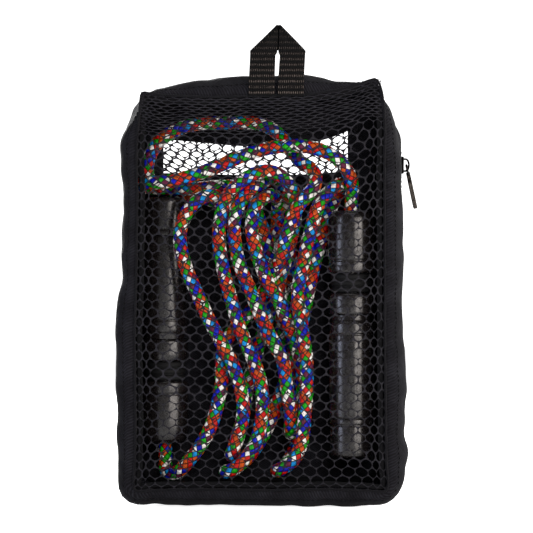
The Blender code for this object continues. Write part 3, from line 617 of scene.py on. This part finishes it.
def seam_edges():
    """The front seam's left and right edges by height, and its lower and upper edges by width."""
    points, _ = curve_through([Vector((x, z, 0)) * MM for x, z, _ in SEAM], 2 * MM, closed=True)
    side, low, high = 66 * MM, SEAM_BOTTOM + 2 * MM, SEAM_TOP - 3 * MM
    left = sorted((p.y, p.x) for p in points if p.x < -side and low < p.y < high)
    right = sorted((p.y, p.x) for p in points if p.x > side and low < p.y < high + 6 * MM)
    lower = sorted((p.x, p.y) for p in points if p.y < low and abs(p.x) < side)
    upper = sorted((p.x, p.y) for p in points if p.y > SEAM_TOP - 6 * MM and abs(p.x) < side)
    return left, right, lower, upper


def net_lattice(width, height):
    """A flat lattice of hexagonal cells from (0, 0) to (width, height)."""
    bm = bmesh.new()
    reach = CELL_WIDE / math.sqrt(3)
    for row in range(int(height / CELL_TALL) + 3):
        for column in range(int(width / CELL_WIDE) + 3):
            across = (column - 1 + 0.5 * (row % 2)) * CELL_WIDE
            middle = Vector((across, (row - 1) * CELL_TALL, 0))
            ring = bmesh.ops.create_circle(
                bm, cap_ends=True, segments=6, radius=reach, matrix=Matrix.Translation(middle)
            )["verts"]
            for vert in ring:
                offset = vert.co - middle
                rise = CELL_SIDE / 2 if abs(offset.x) > 0.1 * reach else CELL_TALL - CELL_SIDE / 2
                vert.co.y = middle.y + math.copysign(rise, offset.y)
    bmesh.ops.remove_doubles(bm, verts=bm.verts, dist=0.05 * MM)
    for place, normal in (((0, 0, 0), (-1, 0, 0)), ((width, 0, 0), (1, 0, 0)), ((0, 0, 0), (0, -1, 0)),
                          ((0, height, 0), (0, 1, 0))):
        cut(bm, place, normal, clear=True)
    bmesh.ops.remove_doubles(bm, verts=bm.verts, dist=0.3 * MM)
    bmesh.ops.dissolve_degenerate(bm, edges=bm.edges, dist=0.1 * MM)
    return bm


def make_net(name, bm, material, node):
    """Threads along a bent lattice's edges."""
    bmesh.ops.wireframe(bm, faces=bm.faces, thickness=THREAD, use_replace=True, use_boundary=True)
    net = finish_piece(name, bm, material, "net")
    round_off(net)
    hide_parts(node)


def make_front_net(material):
    """The net panel: rows gathered under the top seam, columns drawn in at the sides, bowed by the rope."""
    crowd = 3.2  # rows this much closer in the gathered band
    height = SEAM_TOP - SEAM_BOTTOM
    band = GATHER * crowd
    flat_height = height - GATHER + band
    side_band, side_crowd = 9 * MM, 1.7
    wide = 2 * -NET_LOW.x
    flat_wide = wide + 2 * side_band * (side_crowd - 1)
    left, right, lower, upper = seam_edges()
    bm = net_lattice(flat_wide, flat_height)

    def shape(across, along):
        if along > height - GATHER:
            along = height - GATHER + (along - height + GATHER) / crowd
        packed = side_band * side_crowd
        if across < packed:
            across = across / side_crowd
        elif across > flat_wide - packed:
            across = wide - (flat_wide - across) / side_crowd
        else:
            across = across - packed + side_band
        share, rise = across / wide, along / height
        x = (share - 0.5) * wide
        bottom, top = interpolated(lower, x), interpolated(upper, x)
        z = bottom + (top - bottom) * rise
        x = interpolated(left, z) * (1 - share) + interpolated(right, z) * share
        inside = min(1.0, 6 * share, 6 * (1 - share), 8 * rise, 8 * (1 - rise))
        edge = 1 - inside
        near_top = ease((z - SEAM_TOP + 34 * MM) / (34 * MM))
        crumple = 0.25 * inside + 1.3 * min(1, near_top + edge) * min(1, 5 * inside)
        for scale, size in ((22, 2.4 * MM), (95, 1.3 * MM * crumple)):
            shift = noise.noise_vector(Vector((x * scale, 3.0, z * scale))) * size * min(1, 2 * inside)
            x, z = x + shift.x, z + shift.z
        lean = 7 * MM * near_top * (share - 0.5) * inside
        z += lean
        pillow = (1 - (2 * share - 1) ** 4) * (1 - (2 * rise - 1) ** 4)
        depth = noise.noise(Vector((x * 70, 9.0, z * 70))) * (0.5 + 1.6 * min(1, near_top + edge)) * MM
        return Vector((x, FRONT + 0.4 * MM - 2.4 * MM * pillow + depth * min(1, 2 * inside), z))

    bend(bm, shape)
    make_net("front_net", bm, material, "front_mesh_panel")


def back_corner(x, z):
    """A point of the flat rectangle moved so that its corners follow the rounded back seam."""
    inner_x = BACK_HIGH.x - BACK_CORNER
    inner_z = (SEAM_TOP - SEAM_BOTTOM) / 2 - BACK_CORNER
    beyond_x, beyond_z = abs(x) - inner_x, abs(z - MIDDLE) - inner_z
    if beyond_x > 0 and beyond_z > 0:
        away = Vector((beyond_x, beyond_z)).normalized() * max(beyond_x, beyond_z)
        return math.copysign(inner_x + away.x, x), MIDDLE + math.copysign(inner_z + away.y, z - MIDDLE)
    return x, z


def back_rise(x, z):
    """The cloth is pulled askew: the window's upper edge sags in the middle and climbs at its right end."""
    top, low = PANE_HIGH.z, PANE_LOW.z - 10 * MM
    pull = ease((z - low) / (top - low)) * ease((SEAM_TOP - z) / (14 * MM))
    share = min(1.0, max(0.0, (x - PANE_LOW.x) / (PANE_HIGH.x - PANE_LOW.x)))
    return z + pull * (5.4 * share**6 - 4.6 * math.sin(math.pi * share**1.3)) * MM


def back_depth(x, z):
    """How far back the cloth lies: bowed outwards, with faint wrinkles."""
    share_x = x / BACK_HIGH.x
    share_z = (z - MIDDLE) / (SEAM_TOP - MIDDLE)
    pillow = (1 - share_x**4) * (1 - share_z**4)
    wrinkle = noise.noise(Vector((x * 45, 5.0, z * 30))) * 0.9
    wrinkle += noise.noise(Vector((x * 110, 1.0, z * 60))) * 0.4
    return BACK - 0.4 * MM + 1.6 * MM * pillow + wrinkle * pillow * MM


def make_back(cloth, net_material, tape):
    """The back: a cloth panel with a window, the window's net, and the tape sewn round it."""
    wide, tall = 2 * BACK_HIGH.x, SEAM_TOP - SEAM_BOTTOM
    bm = flat_cloth(wide, tall, 56, 90)
    left, right = PANE_LOW.x + wide / 2, PANE_HIGH.x + wide / 2
    low, high = PANE_LOW.z - SEAM_BOTTOM, PANE_HIGH.z - SEAM_BOTTOM
    for x in (left, right):
        cut(bm, (x, 0, 0), (1, 0, 0))
    for z in (low, high):
        cut(bm, (0, z, 0), (0, 1, 0))
    middles = [(face, face.calc_center_median()) for face in bm.faces]
    hole = [face for face, middle in middles if left < middle.x < right and low < middle.y < high]
    bmesh.ops.delete(bm, geom=hole, context="FACES")

    def shape(across, along):
        x, z = back_corner(across - wide / 2, along + SEAM_BOTTOM)
        return Vector((x, back_depth(x, z), back_rise(x, z)))

    bend(bm, shape)
    bmesh.ops.recalc_face_normals(bm, faces=bm.faces)
    panel = finish_piece("back_cloth", bm, cloth, "cloth")
    thicken(panel, CLOTH)
    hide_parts("back_fabric_panel")

    rim = 5 * MM  # of the window's net, under its tape
    net_low = PANE_LOW - Vector((rim, 0, rim))
    size = PANE_HIGH + Vector((rim, 0, rim)) - net_low
    bm = net_lattice(size.x, size.z)

    def net_shape(across, along):
        x, z = net_low.x + across, net_low.z + along
        inside = min(1.0, 5 * across / size.x, 5 * (1 - across / size.x),
                     4 * along / size.z, 4 * (1 - along / size.z))
        shift = noise.noise_vector(Vector((x * 24, 8.0, z * 24))) * 2.4 * MM * max(0.0, inside)
        return Vector((x + shift.x, back_depth(x, z) - 1.7 * MM, back_rise(x, z) + shift.z))

    bend(bm, net_shape)
    make_net("window_net", bm, net_material, "back_mesh_window")

    # A tape sewn round the window: four strips mitred at the corners
    inner, width = -0.8 * MM, 7 * MM
    corners = [Vector((PANE_LOW.x, 0, PANE_LOW.z)), Vector((PANE_HIGH.x, 0, PANE_LOW.z)),
               Vector((PANE_HIGH.x, 0, PANE_HIGH.z)), Vector((PANE_LOW.x, 0, PANE_HIGH.z))]
    strips = []
    for start, end in zip(corners, corners[1:] + corners[:1]):
        length = (end - start).length
        strip = flat_cloth(width, length, 2, max(2, round(length / (3 * MM))))

        def lay(across, run, start=start, end=end, length=length):
            along = (end - start).normalized()
            out = Vector((along.z, 0, -along.x))
            beyond = across if across > 0.1 * MM else inner
            spread = start.lerp(end, run / length) + out * beyond + along * (2 * run / length - 1) * beyond
            spread.y = back_depth(spread.x, spread.z) + 0.5 * MM
            spread.z = back_rise(spread.x, spread.z)
            return spread

        bend(strip, lay)
        strips.append(strip)
    bm = join(strips)
    bmesh.ops.recalc_face_normals(bm, faces=bm.faces)
    border = finish_piece("window_tape", bm, tape, "tape")
    thicken(border, 0.9 * MM, 0)
    soften(border, 0.3 * MM, 2, 30)


def make_stitches(name, places, material, slot, body="pouch", thick=0.42 * MM):
    """Lock stitches: a short rounded thread at each (middle, direction, out, length)."""
    bm = bmesh.new()
    for middle, along, out, length in places:
        side = along.cross(out)
        turn = Matrix((along, side, out)).transposed().to_4x4()
        size = Matrix.Diagonal((length / 2, thick, thick * 0.8, 1))
        place = Matrix.Translation(middle) @ turn @ size
        bmesh.ops.create_icosphere(bm, subdivisions=1, radius=1, matrix=place)
    return finish_piece(name, bm, material, slot, body)


def seam_strip(name, side, width, rows, place, material, slot):
    """A strip along a whole seam, front or back; place(seam point, outward, across) says where it lies."""
    stations, length = seam_stations(2 * MM)
    count = len(stations)
    bm = flat_cloth(length, width, count, rows)

    def shape(along, across):
        seam, out, _ = stations[round(along * count / length) % count]
        return place(seam if side < 0 else back_seam_point(seam), out, across)

    bend(bm, shape)
    weld(bm)
    return finish_piece(name, bm, material, slot)


def make_seams(tape, cloth, thread):
    """Binding inside both seams, the gusset's ridge along them, and the topstitching beside them."""
    ends = (("front", -1), ("back", 1))
    for end, side in ends:
        low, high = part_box(f"{end}_seam_binding")
        depth = (low.y + high.y) / 2

        def lay(base, out, across, side=side, depth=depth):
            wave = noise.noise(Vector((base.x * 160, 2.0 * side, base.z * 160)))
            inward = base - out * (0.9 * MM + across + wave * 0.4 * MM)
            return Vector((inward.x, depth + wave * 0.5 * MM, inward.z))

        binding = seam_strip(f"{end}_seam_tape", side, 3.2 * MM, 3, lay, tape, "tape")
        thicken(binding, 1.0 * MM, 0)
        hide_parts(f"{end}_seam_binding")

    # The gusset's turned-over edge along each seam: a small round ridge
    for end, side in ends:

        def ridge(base, out, angle, side=side):
            fat = (0.7 + 0.3 * noise.noise(Vector((base.x * 240, side, base.z * 240)))) * MM
            middle = base + out * 0.35 * MM
            middle.y = side * (BACK + 0.1 * MM)
            return middle + out * fat * math.cos(angle) + Vector((0, -fat * 0.75 * math.sin(angle), 0))

        seam_strip(f"{end}_seam_ridge", side, TAU, 8, ridge, cloth, "cloth")

    places = []
    stations, _ = seam_stations(STITCH)
    for side, depth in ((-1, FRONT + 2.6 * MM), (1, BACK - 2.6 * MM)):
        for index, station in enumerate(stations):
            middle = gusset_point(station, depth)
            ahead = gusset_point(stations[(index + 1) % len(stations)], depth)
            along = (ahead - middle).normalized()
            out = (gusset_point(station, depth + side * 0.8 * MM) - middle).normalized().cross(along) * side
            if out.dot(station[1]) < 0:
                out = -out
            out = (out - along * out.dot(along)).normalized()
            places.append((middle + out * 0.2 * MM, along, out, 2 * MM))
    make_stitches("gusset_topstitch", places, thread, "tape")


def make_loop(webbing, thread):
    """One strap folded at 45 degrees on each side of its peak; each half is laid flat and folded."""
    middle = (LOOP_LOW.x + LOOP_HIGH.x) / 2
    slot = 1.25 * MM
    width = (LOOP_HIGH.x - LOOP_LOW.x) / 2 - slot
    foot = LOOP_LOW.z + 4.3 * MM
    outer, shoulder = slot + width, LOOP_HIGH.z - width - 1.9 * MM
    radius = 0.95 * MM
    face = (LOOP_LOW.y + LOOP_HIGH.y) / 2
    halves = []
    for side in (1, -1):
        half = flat_cloth(width, shoulder - foot + 2 * width + 4 * MM, 18, 90)

        def fold(across, along, side=side):
            x, z = slot + across, foot + along
            meet = 0.9 * MM * ease((z - shoulder + 1 * MM) / (2 * MM))
            meet += 0.35 * MM * (1 - ease((z - foot) / (shoulder - foot)))
            close = meet * (1 - across / width)
            past = (x - outer + z - shoulder) / math.sqrt(2)
            y = face - 0.25 * MM * math.sin(math.pi * across / width)
            y += noise.noise(Vector((x * 120 * side, 4.0, z * 60))) * 0.25 * MM
            if past > 0:
                turn = min(past / radius, math.pi)
                beyond = max(0.0, past - math.pi * radius)
                shift = (radius * math.sin(turn) - beyond - past) / math.sqrt(2)
                x, z, y = x + shift, z + shift, y + radius * (1 - math.cos(turn))
            x -= close if past < 0 else 0
            return Vector((middle + side * x, y, z))

        bend(half, fold)
        cut(half, (middle, 0, 0), (-side, 0, 0), clear=True)
        if side < 0:
            bmesh.ops.reverse_faces(half, faces=half.faces)
        halves.append(half)
    bm = join(halves)
    for vert in bm.verts:  # the peak leans to the right
        vert.co.x += 1.4 * MM * ease((vert.co.z - foot) / (40 * MM))
    loop = finish_piece("webbing_loop", bm, webbing, "webbing")
    thicken(loop, 1.25 * MM, 0)
    soften(loop, 0.35 * MM, 2, 30)
    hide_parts("hang_loop")
    places = []
    for side in (-1, 1):
        for row in range(2):
            for step in range(10):
                x = middle + side * (slot + 1.6 * MM + step * (width - 3.2 * MM) / 9)
                place = Vector((x, face - 0.85 * MM, foot + (2.6 + row * 2.2) * MM))
                places.append((place, Vector((1, 0, 0)), Vector((0, -1, 0)), 1.1 * MM))
    make_stitches("loop_bar_tack", places, thread, "webbing")


# Zip


def tube(points, radius_at, steps, length):
    """A round tube along evenly spaced points, its flat map kept in UV: across is round it, in metres."""
    count = len(points) - 1
    around = radius_at(0, 0) * TAU
    bm = flat_cloth(around, length, steps, count)
    tangents = [(points[min(count, i + 1)] - points[max(0, i - 1)]).normalized() for i in range(count + 1)]
    side = tangents[0].orthogonal().normalized()
    sides = []
    for tangent in tangents:
        side = (side - tangent * side.dot(tangent)).normalized()
        sides.append(side)

    def shape(across, along):
        index = min(count, round(along / length * count))
        angle = TAU * across / around
        out = sides[index] * math.cos(angle) + tangents[index].cross(sides[index]) * math.sin(angle)
        return points[index] + out * radius_at(across, along)

    bend(bm, shape)
    bmesh.ops.remove_doubles(bm, verts=bm.verts, dist=0.005 * MM)
    bmesh.ops.holes_fill(bm, edges=[edge for edge in bm.edges if edge.is_boundary], sides=steps + 1)
    bmesh.ops.recalc_face_normals(bm, faces=bm.faces)
    return bm


def wire(name, points, radius, steps, material, slot, body="pouch"):
    bm = tube(points, lambda across, along: radius, steps, (len(points) - 1) * MM)
    return finish_piece(name, bm, material, slot, body)


def make_zip(tape, coil, thread):
    """Both halves of the closed zip: a woven tape, its wire coil, and the stitches through them."""
    tape_x = TAPE_HIGH.x
    pitch = 1.25 * MM
    places = []
    for side, sign in (("front", -1), ("rear", 1)):
        low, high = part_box(f"zip_tape_{side}")
        near, far = sorted((abs(low.y), abs(high.y)))
        bm = flat_cloth(far - near, high.z - low.z, 8, 70)

        def lay(across, along, sign=sign, near=near, low=low):
            z = low.z + along
            free = across / (12 * MM)  # 0 at the coil, 1 at the tape's free edge
            wave = noise.noise(Vector((sign * 3.0, across * 120, z * 60))) * 0.3 * MM * free
            return Vector((tape_x - 0.4 * MM + wave - 0.2 * MM * free, sign * (near + across), z))

        bend(bm, lay)
        bmesh.ops.recalc_face_normals(bm, faces=bm.faces)
        piece = finish_piece(f"zip_tape_woven_{side}", bm, tape, "tape")
        thicken(piece, 0.7 * MM, 0)
        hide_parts(f"zip_tape_{side}")

        low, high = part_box(f"zip_teeth_{side}")
        near, far = sorted((abs(low.y), abs(high.y)))
        radius = 0.33 * MM
        centre_x, half_x = (low.x + high.x) / 2, (high.x - low.x) / 2 - radius
        centre_y, half_y = (near + far) / 2, (far - near) / 2 - radius + 0.25 * MM
        turns = int((high.z - low.z - 2 * radius) / pitch)
        steps = 14
        points = []
        for step in range(turns * steps + 1):
            angle = TAU * step / steps
            square = 0.75 + 0.25 * abs(math.cos(angle))
            points.append(Vector((centre_x + half_x * math.sin(angle),
                                  sign * (centre_y - half_y * math.cos(angle) * square),
                                  low.z + radius + pitch * step / steps)))
        coil_piece = wire(f"zip_coil_{side}", points, radius, 7, coil, "zip_coil")
        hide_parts(f"zip_teeth_{side}")
        # Lock stitches that hold the coil on its tape, and the row that holds the tape to the cloth
        for y, length, stitch_pitch, out in ((centre_y + 0.3 * MM, 0.9 * MM, pitch, high.x - 0.1 * MM),
                                             (ZIP_LIP + 2.2 * MM, 2 * MM, STITCH, SIDE + 0.35 * MM)):
            for step in range(int((high.z - low.z) / stitch_pitch)):
                place = Vector((out, sign * y, low.z + (step + 0.5) * stitch_pitch))
                places.append((place, Vector((0, 0, 1)), Vector((1, 0, 0)), length))
    make_stitches("zip_stitches", places, thread, "tape", thick=0.25 * MM)


def slab(outline, low, high):
    """A bevelled slab between two heights along X, its outline in (y, z)."""
    bm = bmesh.new()
    face = bm.faces.new([bm.verts.new((low, y, z)) for y, z in outline])
    moved = bmesh.ops.extrude_face_region(bm, geom=[face])["geom"]
    verts = [part for part in moved if isinstance(part, bmesh.types.BMVert)]
    bmesh.ops.translate(bm, verts=verts, vec=(high - low, 0, 0))
    bmesh.ops.recalc_face_normals(bm, faces=bm.faces)
    return bm


def smooth_outline(points, spacing):
    fine, _ = curve_through([Vector(p) for p in points], spacing, closed=True)
    return [(p.x, p.y) for p in fine[:-1]]


def make_slider(metal):
    """The slider: two plates joined by a post, and the bridge that the link hangs in."""
    low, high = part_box("zip_slider")
    middle = (low.z + high.z) / 2
    face = high.x - 3 * MM  # the CAD's bridge stands 3 mm over its plate
    wide, half = high.y, (high.z - low.z) / 2
    outline = [(0, -half), (wide * 0.62, -half * 0.96), (wide * 0.72, -half * 0.5), (wide * 0.78, 0),
               (wide * 0.98, half * 0.45), (wide * 0.96, half * 0.85), (wide * 0.5, half),
               (0, half * 0.92)]
    outline += [(-y, z) for y, z in reversed(outline[1:-1])]
    shape = [(y, z + middle) for y, z in smooth_outline(outline, 0.6 * MM)]
    thin, slot, body = 1.2 * MM, "zip_metal", "zip_slider"
    plate, under_plate = (
        finish_piece(name, slab(shape, x_low, x_low + thin), metal, slot, body, sharp=40)
        for name, x_low in (("slider_plate", face - thin), ("slider_under_plate", low.x))
    )
    for piece in (plate, under_plate):
        soften(piece, 0.35 * MM, 3, 35)
    post = [(y * MM, middle + z * MM) for y, z in ((-0.35, 0.6), (0.35, 0.6), (0.35, 4), (-0.35, 4))]
    finish_piece("slider_post", slab(post, low.x + 0.5 * MM, face - 0.5 * MM), metal, slot, body)
    # An open arch of flat wire that the link hangs in
    reach, rise, steps = 3.5 * MM, 2.9 * MM, 16
    arch = []
    for step in range(steps + 1):
        angle = math.pi * step / steps
        stand = 0.1 * MM + rise * math.sin(angle) ** 0.55 if 0 < step < steps else 0
        arch.append(Vector((face + stand, 0, middle - reach * math.cos(angle))))
    feet = [Vector((face - 0.4 * MM, 0, middle + side * reach)) for side in (-1, 1)]
    wire("slider_bridge", [feet[0], *arch, feet[1]], 0.6 * MM, 10, metal, slot, body)
    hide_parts("zip_slider")


def make_tab(metal):
    """The puller's flat tab, sunk a little on both faces."""
    low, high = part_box("zip_slider")
    hang = Matrix.Translation((high.x - 1.5 * MM, 0, (low.z + high.z) / 2))
    hang = hang @ Matrix.Rotation(-PULL_LEAN, 4, "Y")
    link, thick = 6 * MM, 2.5 * MM
    half = [(0.65, 1.35), (1.45, -0.2), (1.75, -2.4), (2.6, -4.2), (2.8, -8), (2.8, -17), (2.1, -19.4),
            (0, -20)]
    outline = [(0, 1.75), *half] + [(-y, z) for y, z in reversed(half[:-1])]
    shape = [(y, z - link) for y, z in smooth_outline([(y * MM, z * MM) for y, z in outline], 0.5 * MM)]
    bm = slab(shape, -thick / 2, thick / 2)
    # A shallow sunk field on both faces
    faces = sorted(bm.faces, key=lambda face: face.calc_area())[-2:]
    bmesh.ops.inset_region(bm, faces=faces, thickness=0.7 * MM, depth=0.0)
    for face in faces:
        bmesh.ops.translate(bm, verts=face.verts, vec=-face.normal * 0.3 * MM)
    bm.transform(hang)
    tab = finish_piece("pull_tab", bm, metal, "zip_metal", "zip_puller", sharp=40)
    soften(tab, 0.25 * MM, 2, 35)
    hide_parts("puller_tab")


# Handles


def turned(profile):
    """A round piece about Z from (radius, height, rounding) in millimetres; off the axis it is a ring."""
    bm = bmesh.new()
    places = [Vector((radius, 0, height)) * MM for radius, height, _ in profile]
    line = []
    for index, (here, (_, _, soft)) in enumerate(zip(places, profile)):
        if not soft:
            line.append(here)
            continue
        before, after = places[index - 1] - here, places[(index + 1) % len(places)] - here
        start = here + before.normalized() * min(soft * MM, before.length / 2)
        end = here + after.normalized() * min(soft * MM, after.length / 2)
        for step in range(5):
            share = step / 4
            line.append(start.lerp(here, share).lerp(here.lerp(end, share), share))
    verts = [bm.verts.new(place) for place in line]
    pairs = list(zip(verts, verts[1:]))
    if places[0].x or places[-1].x:
        pairs.append((verts[-1], verts[0]))
    edges = [bm.edges.new(pair) for pair in pairs]
    bmesh.ops.spin(bm, geom=verts + edges, cent=(0, 0, 0), axis=(0, 0, 1), angle=TAU, steps=72,
                   use_merge=True)
    weld(bm, 0.001 * MM)
    return bm


def make_handle(side, plastic, rubber):
    """A handle's turned mouldings, from its butt to the head that the rope goes into."""
    low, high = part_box(f"{side}_grip")
    middle = (low + high) / 2
    cap_low, cap_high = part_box(f"{side}_end_cap")
    butt_up = cap_high.z > high.z
    butt = cap_high.z if butt_up else cap_low.z
    stand = Matrix.Translation((middle.x, middle.y, butt))
    if butt_up:
        stand = stand @ Matrix.Rotation(math.pi, 4, "X")
    body = f"{side}_grip"
    parts = {
        "end_cap": (plastic, "handle_plastic", body, [
            (0, 0.5, 0), (6.5, 0.3, 1), (8, 0, 0.6), (11.1, 0, 1.2), (12, 1.6, 1.4), (12, 17.6, 0.3),
            (11.5, 18, 0.2), (11.5, 18.8, 0.2), (12, 19.2, 0.3), (12, 22, 0.5), (8.6, 22, 0),
            (8.6, 31.6, 0.6), (7.2, 31.6, 0.4), (7.2, 24, 0.4), (0, 24, 0),
        ]),
        "grip": (plastic, "handle_plastic", body, [
            (9, 22.3, 0.3), (12.1, 22.3, 0.6), (12.6, 23.3, 0.6), (12.6, 70.5, 0.3), (12.2, 70.9, 0.2),
            (12.2, 71.5, 0.2), (12.6, 71.9, 0.3), (12.6, 77.6, 0.9), (11.3, 79.0, 0.9), (11.1, 82.3, 0.3),
            (9, 82.3, 0.3),
        ]),
        "collar": (plastic, "handle_plastic", body, [
            (9, 82.6, 0.3), (12.5, 82.6, 0.7), (13.1, 83.5, 0.7), (13.1, 91.8, 1.0), (12.5, 94.2, 0.8),
            (11.6, 95, 0.5), (9, 95, 0.3),
        ]),
        "head": (plastic, "handle_plastic", "pouch", [
            (9.4, 106.8, 0.3), (12.7, 106.8, 0.6), (13.4, 107.8, 0.8), (13.4, 113.2, 0.3), (12.9, 113.7, 0.2),
            (12.9, 114.4, 0.2), (13.4, 114.9, 0.3), (13.4, 136, 3.5), (12.4, 141.2, 2.2), (9.4, 142.8, 1.4),
            (5.9, 142.8, 1.2), (4.4, 141, 0.8), (4.4, 134.8, 0.3), (9.4, 134.8, 0.3),
        ]),
    }
    for part, (material, slot, rides, profile) in parts.items():
        bm = turned(profile)
        bm.transform(stand)
        piece = finish_piece(f"{side}_{part}_moulding", bm, material, slot, rides, sharp=50)
        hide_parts(f"{side}_{part}")
    # The flexible sleeve: three soft rings
    ridges = [(3.8, 95.3, 0.2), (10.9, 95.3, 0.5)]
    for ring in range(3):
        start = 95.3 + ring * 3.73
        ridges += [(11.8, start + 0.9, 0.6), (11.8, start + 2.7, 0.6), (10.7, start + 3.73, 0.5)]
    ridges += [(3.8, 106.5, 0.2)]
    bm = turned(ridges)
    bm.transform(stand)
    sleeve = finish_piece(f"{side}_sleeve_moulding", bm, rubber, "sleeve_rubber", sharp=50)
    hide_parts(f"{side}_swivel_sleeve")


# Rope


def make_rope(material):
    """The rope: a tube along its route whose skin rises over each yarn crossing."""
    route = [Vector(point) * MM for point in RUNS]
    points, length = curve_through(route, 0.75 * MM)
    around = math.pi * ROPE

    def lay(across, along):
        turn, rise = across * YARNS / around, along * YARNS / BRAID_LEAD
        crown = 1.0
        for value in (turn + rise, turn - rise):
            crown = min(crown, 2 * min(value % 1, 1 - value % 1))
        return ROPE / 2 - (0.5 - 0.62 * math.sqrt(crown)) * MM if along or across else ROPE / 2

    bm = tube(points, lay, 24, length)
    rope = finish_piece("jump_rope", bm, material, "rope")
    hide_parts("rope_hank_front", "rope_hank_rear", "rope_lead_left", "rope_lead_right",
                "rope_top_arc")
    path = points[:-1:4] + [points[-1]]
    [tuple(point) for point in path]


# Stage


def area_light(name, place, target, size, power, colour="#ffffff"):
    light = bpy.data.lights.new(name, "AREA")
    light.shape = "RECTANGLE"
    light.size, light.size_y = size
    light.energy = power
    light.color = linear(colour)[:3]
    obj = bpy.data.objects.new(name, light)
    obj.location = place
    obj.rotation_euler = (Vector(target) - Vector(place)).to_track_quat("-Z", "Y").to_euler()
    bpy.context.scene.collection.objects.link(obj)
    return obj


def make_stage():
    scene = bpy.context.scene
    scene.view_settings.view_transform = "Standard"
    world = bpy.data.worlds.new("studio")
    scene.world = world
    world.use_nodes = True
    tree = world.node_tree
    background = tree.nodes["Background"]
    background.inputs["Color"].default_value = linear("#ffffff")
    seen = add(tree, "LightPath", result="Is Camera Ray")
    connect(tree, add(tree, "MapRange", {"To Min": 0.13, "To Max": 1.6}, Value=seen), background, "Strength")

    bm = bmesh.new()
    bmesh.ops.create_grid(bm, x_segments=2, y_segments=2, size=4)
    mesh = bpy.data.meshes.new("floor")
    bm.to_mesh(mesh)
    bm.free()
    paper, tree, shader, place = new_material(
        "white_studio_paper", {"Roughness": 0.9, "Emission Color": linear("#ffffff")}, "Object"
    )
    tooth = add(tree, "TexNoise", {"Scale": 400.0}, "Fac", Vector=place)
    white = add(tree, "ValToRGB", {"stops": [(0.3, "#f8f8f8"), (0.7, "#ffffff")]}, Fac=tooth)
    connect(tree, white, shader, "Base Color")
    seen = add(tree, "LightPath", result="Is Camera Ray")
    glow = add(tree, "Math", {"operation": "MULTIPLY"}, in_0=seen, in_1=0.9)
    connect(tree, glow, shader, "Emission Strength")
    mesh.materials.append(paper)
    floor = bpy.data.objects.new("floor", mesh)
    floor.location.z = -0.0005
    scene.collection.objects.link(floor)

    aim = (0, 0, 0.13)
    key = area_light("key", (0.25, -1.75, 0.6), aim, (0.45, 0.45), 24)
    key.visible_glossy = False  # the handles and hardware mirror only the two tall side boxes
    area_light("left_box", (-1.4, -0.75, 0.3), aim, (0.6, 0.9), 11, "#dde4ff")
    area_light("right_box", (1.1, -1.2, 0.35), aim, (1.3, 0.8), 23, "#fff6f0")
    area_light("top", (0, 0.1, 1.3), aim, (1.0, 0.9), 8)
    area_light("behind", (-0.5, 1.6, 0.6), aim, (1.0, 0.8), 34)
    area_light("right_rear", (1.6, 0.5, 0.5), aim, (0.6, 0.9), 24)

    camera = bpy.data.cameras.new("camera")
    camera.sensor_width = SENSOR / MM
    camera.lens = SENSOR / MM * VIEW_DISTANCE / VIEW_WIDTH
    viewer = bpy.data.objects.new("camera", camera)
    viewer.location = (VIEW_ACROSS, FRONT - VIEW_DISTANCE, VIEW_UP)
    viewer.rotation_euler = (math.pi / 2, 0, 0)
    scene.collection.objects.link(viewer)
    scene.camera = viewer


def main():
    make_stage()
    cloth = twill_cloth()
    net = net_thread()
    tape = woven_tape("grosgrain_tape", 0.9 * MM, "#070708", "#151517")
    thread = woven_tape("sewing_thread", 0.5 * MM, "#0b0b0c", "#1c1c1f")
    webbing = strap_webbing()
    enamel = plated_zinc("black_enamelled_zinc", "#0b0a0a", "#1d1b1a")
    gunmetal = plated_zinc("gunmetal_plate", "#24211f", "#5a5550")
    plastic, rubber = moulded_plastic(), moulded_rubber()

    make_rope(braided_yarn())
    make_front_net(net)
    make_gusset(cloth)
    make_back(cloth, net, tape)
    make_seams(tape, cloth, thread)
    make_loop(webbing, thread)
    make_zip(tape, coil_nylon(), thread)
    make_slider(enamel)
    make_tab(gunmetal)
    for side in ("left", "right"):
        make_handle(side, plastic, rubber)

    steel = turned_metal("turned_steel", "#6f7072", "#a5a6a8", 0.3)
    brass = turned_metal("turned_brass", "#7c6431", "#b3934f", 0.35)
    kept = {"puller_link": enamel, "zip_bottom_stop": enamel, "zip_top_stop": enamel}
    for side in ("left", "right"):
        kept |= {f"{side}_bearing": steel, f"{side}_spindle": steel, f"{side}_spindle_nut": steel,
                 f"{side}_rope_stop": brass}
    for node, material in kept.items():
        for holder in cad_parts[node].material_slots:
            holder.material = material


main()
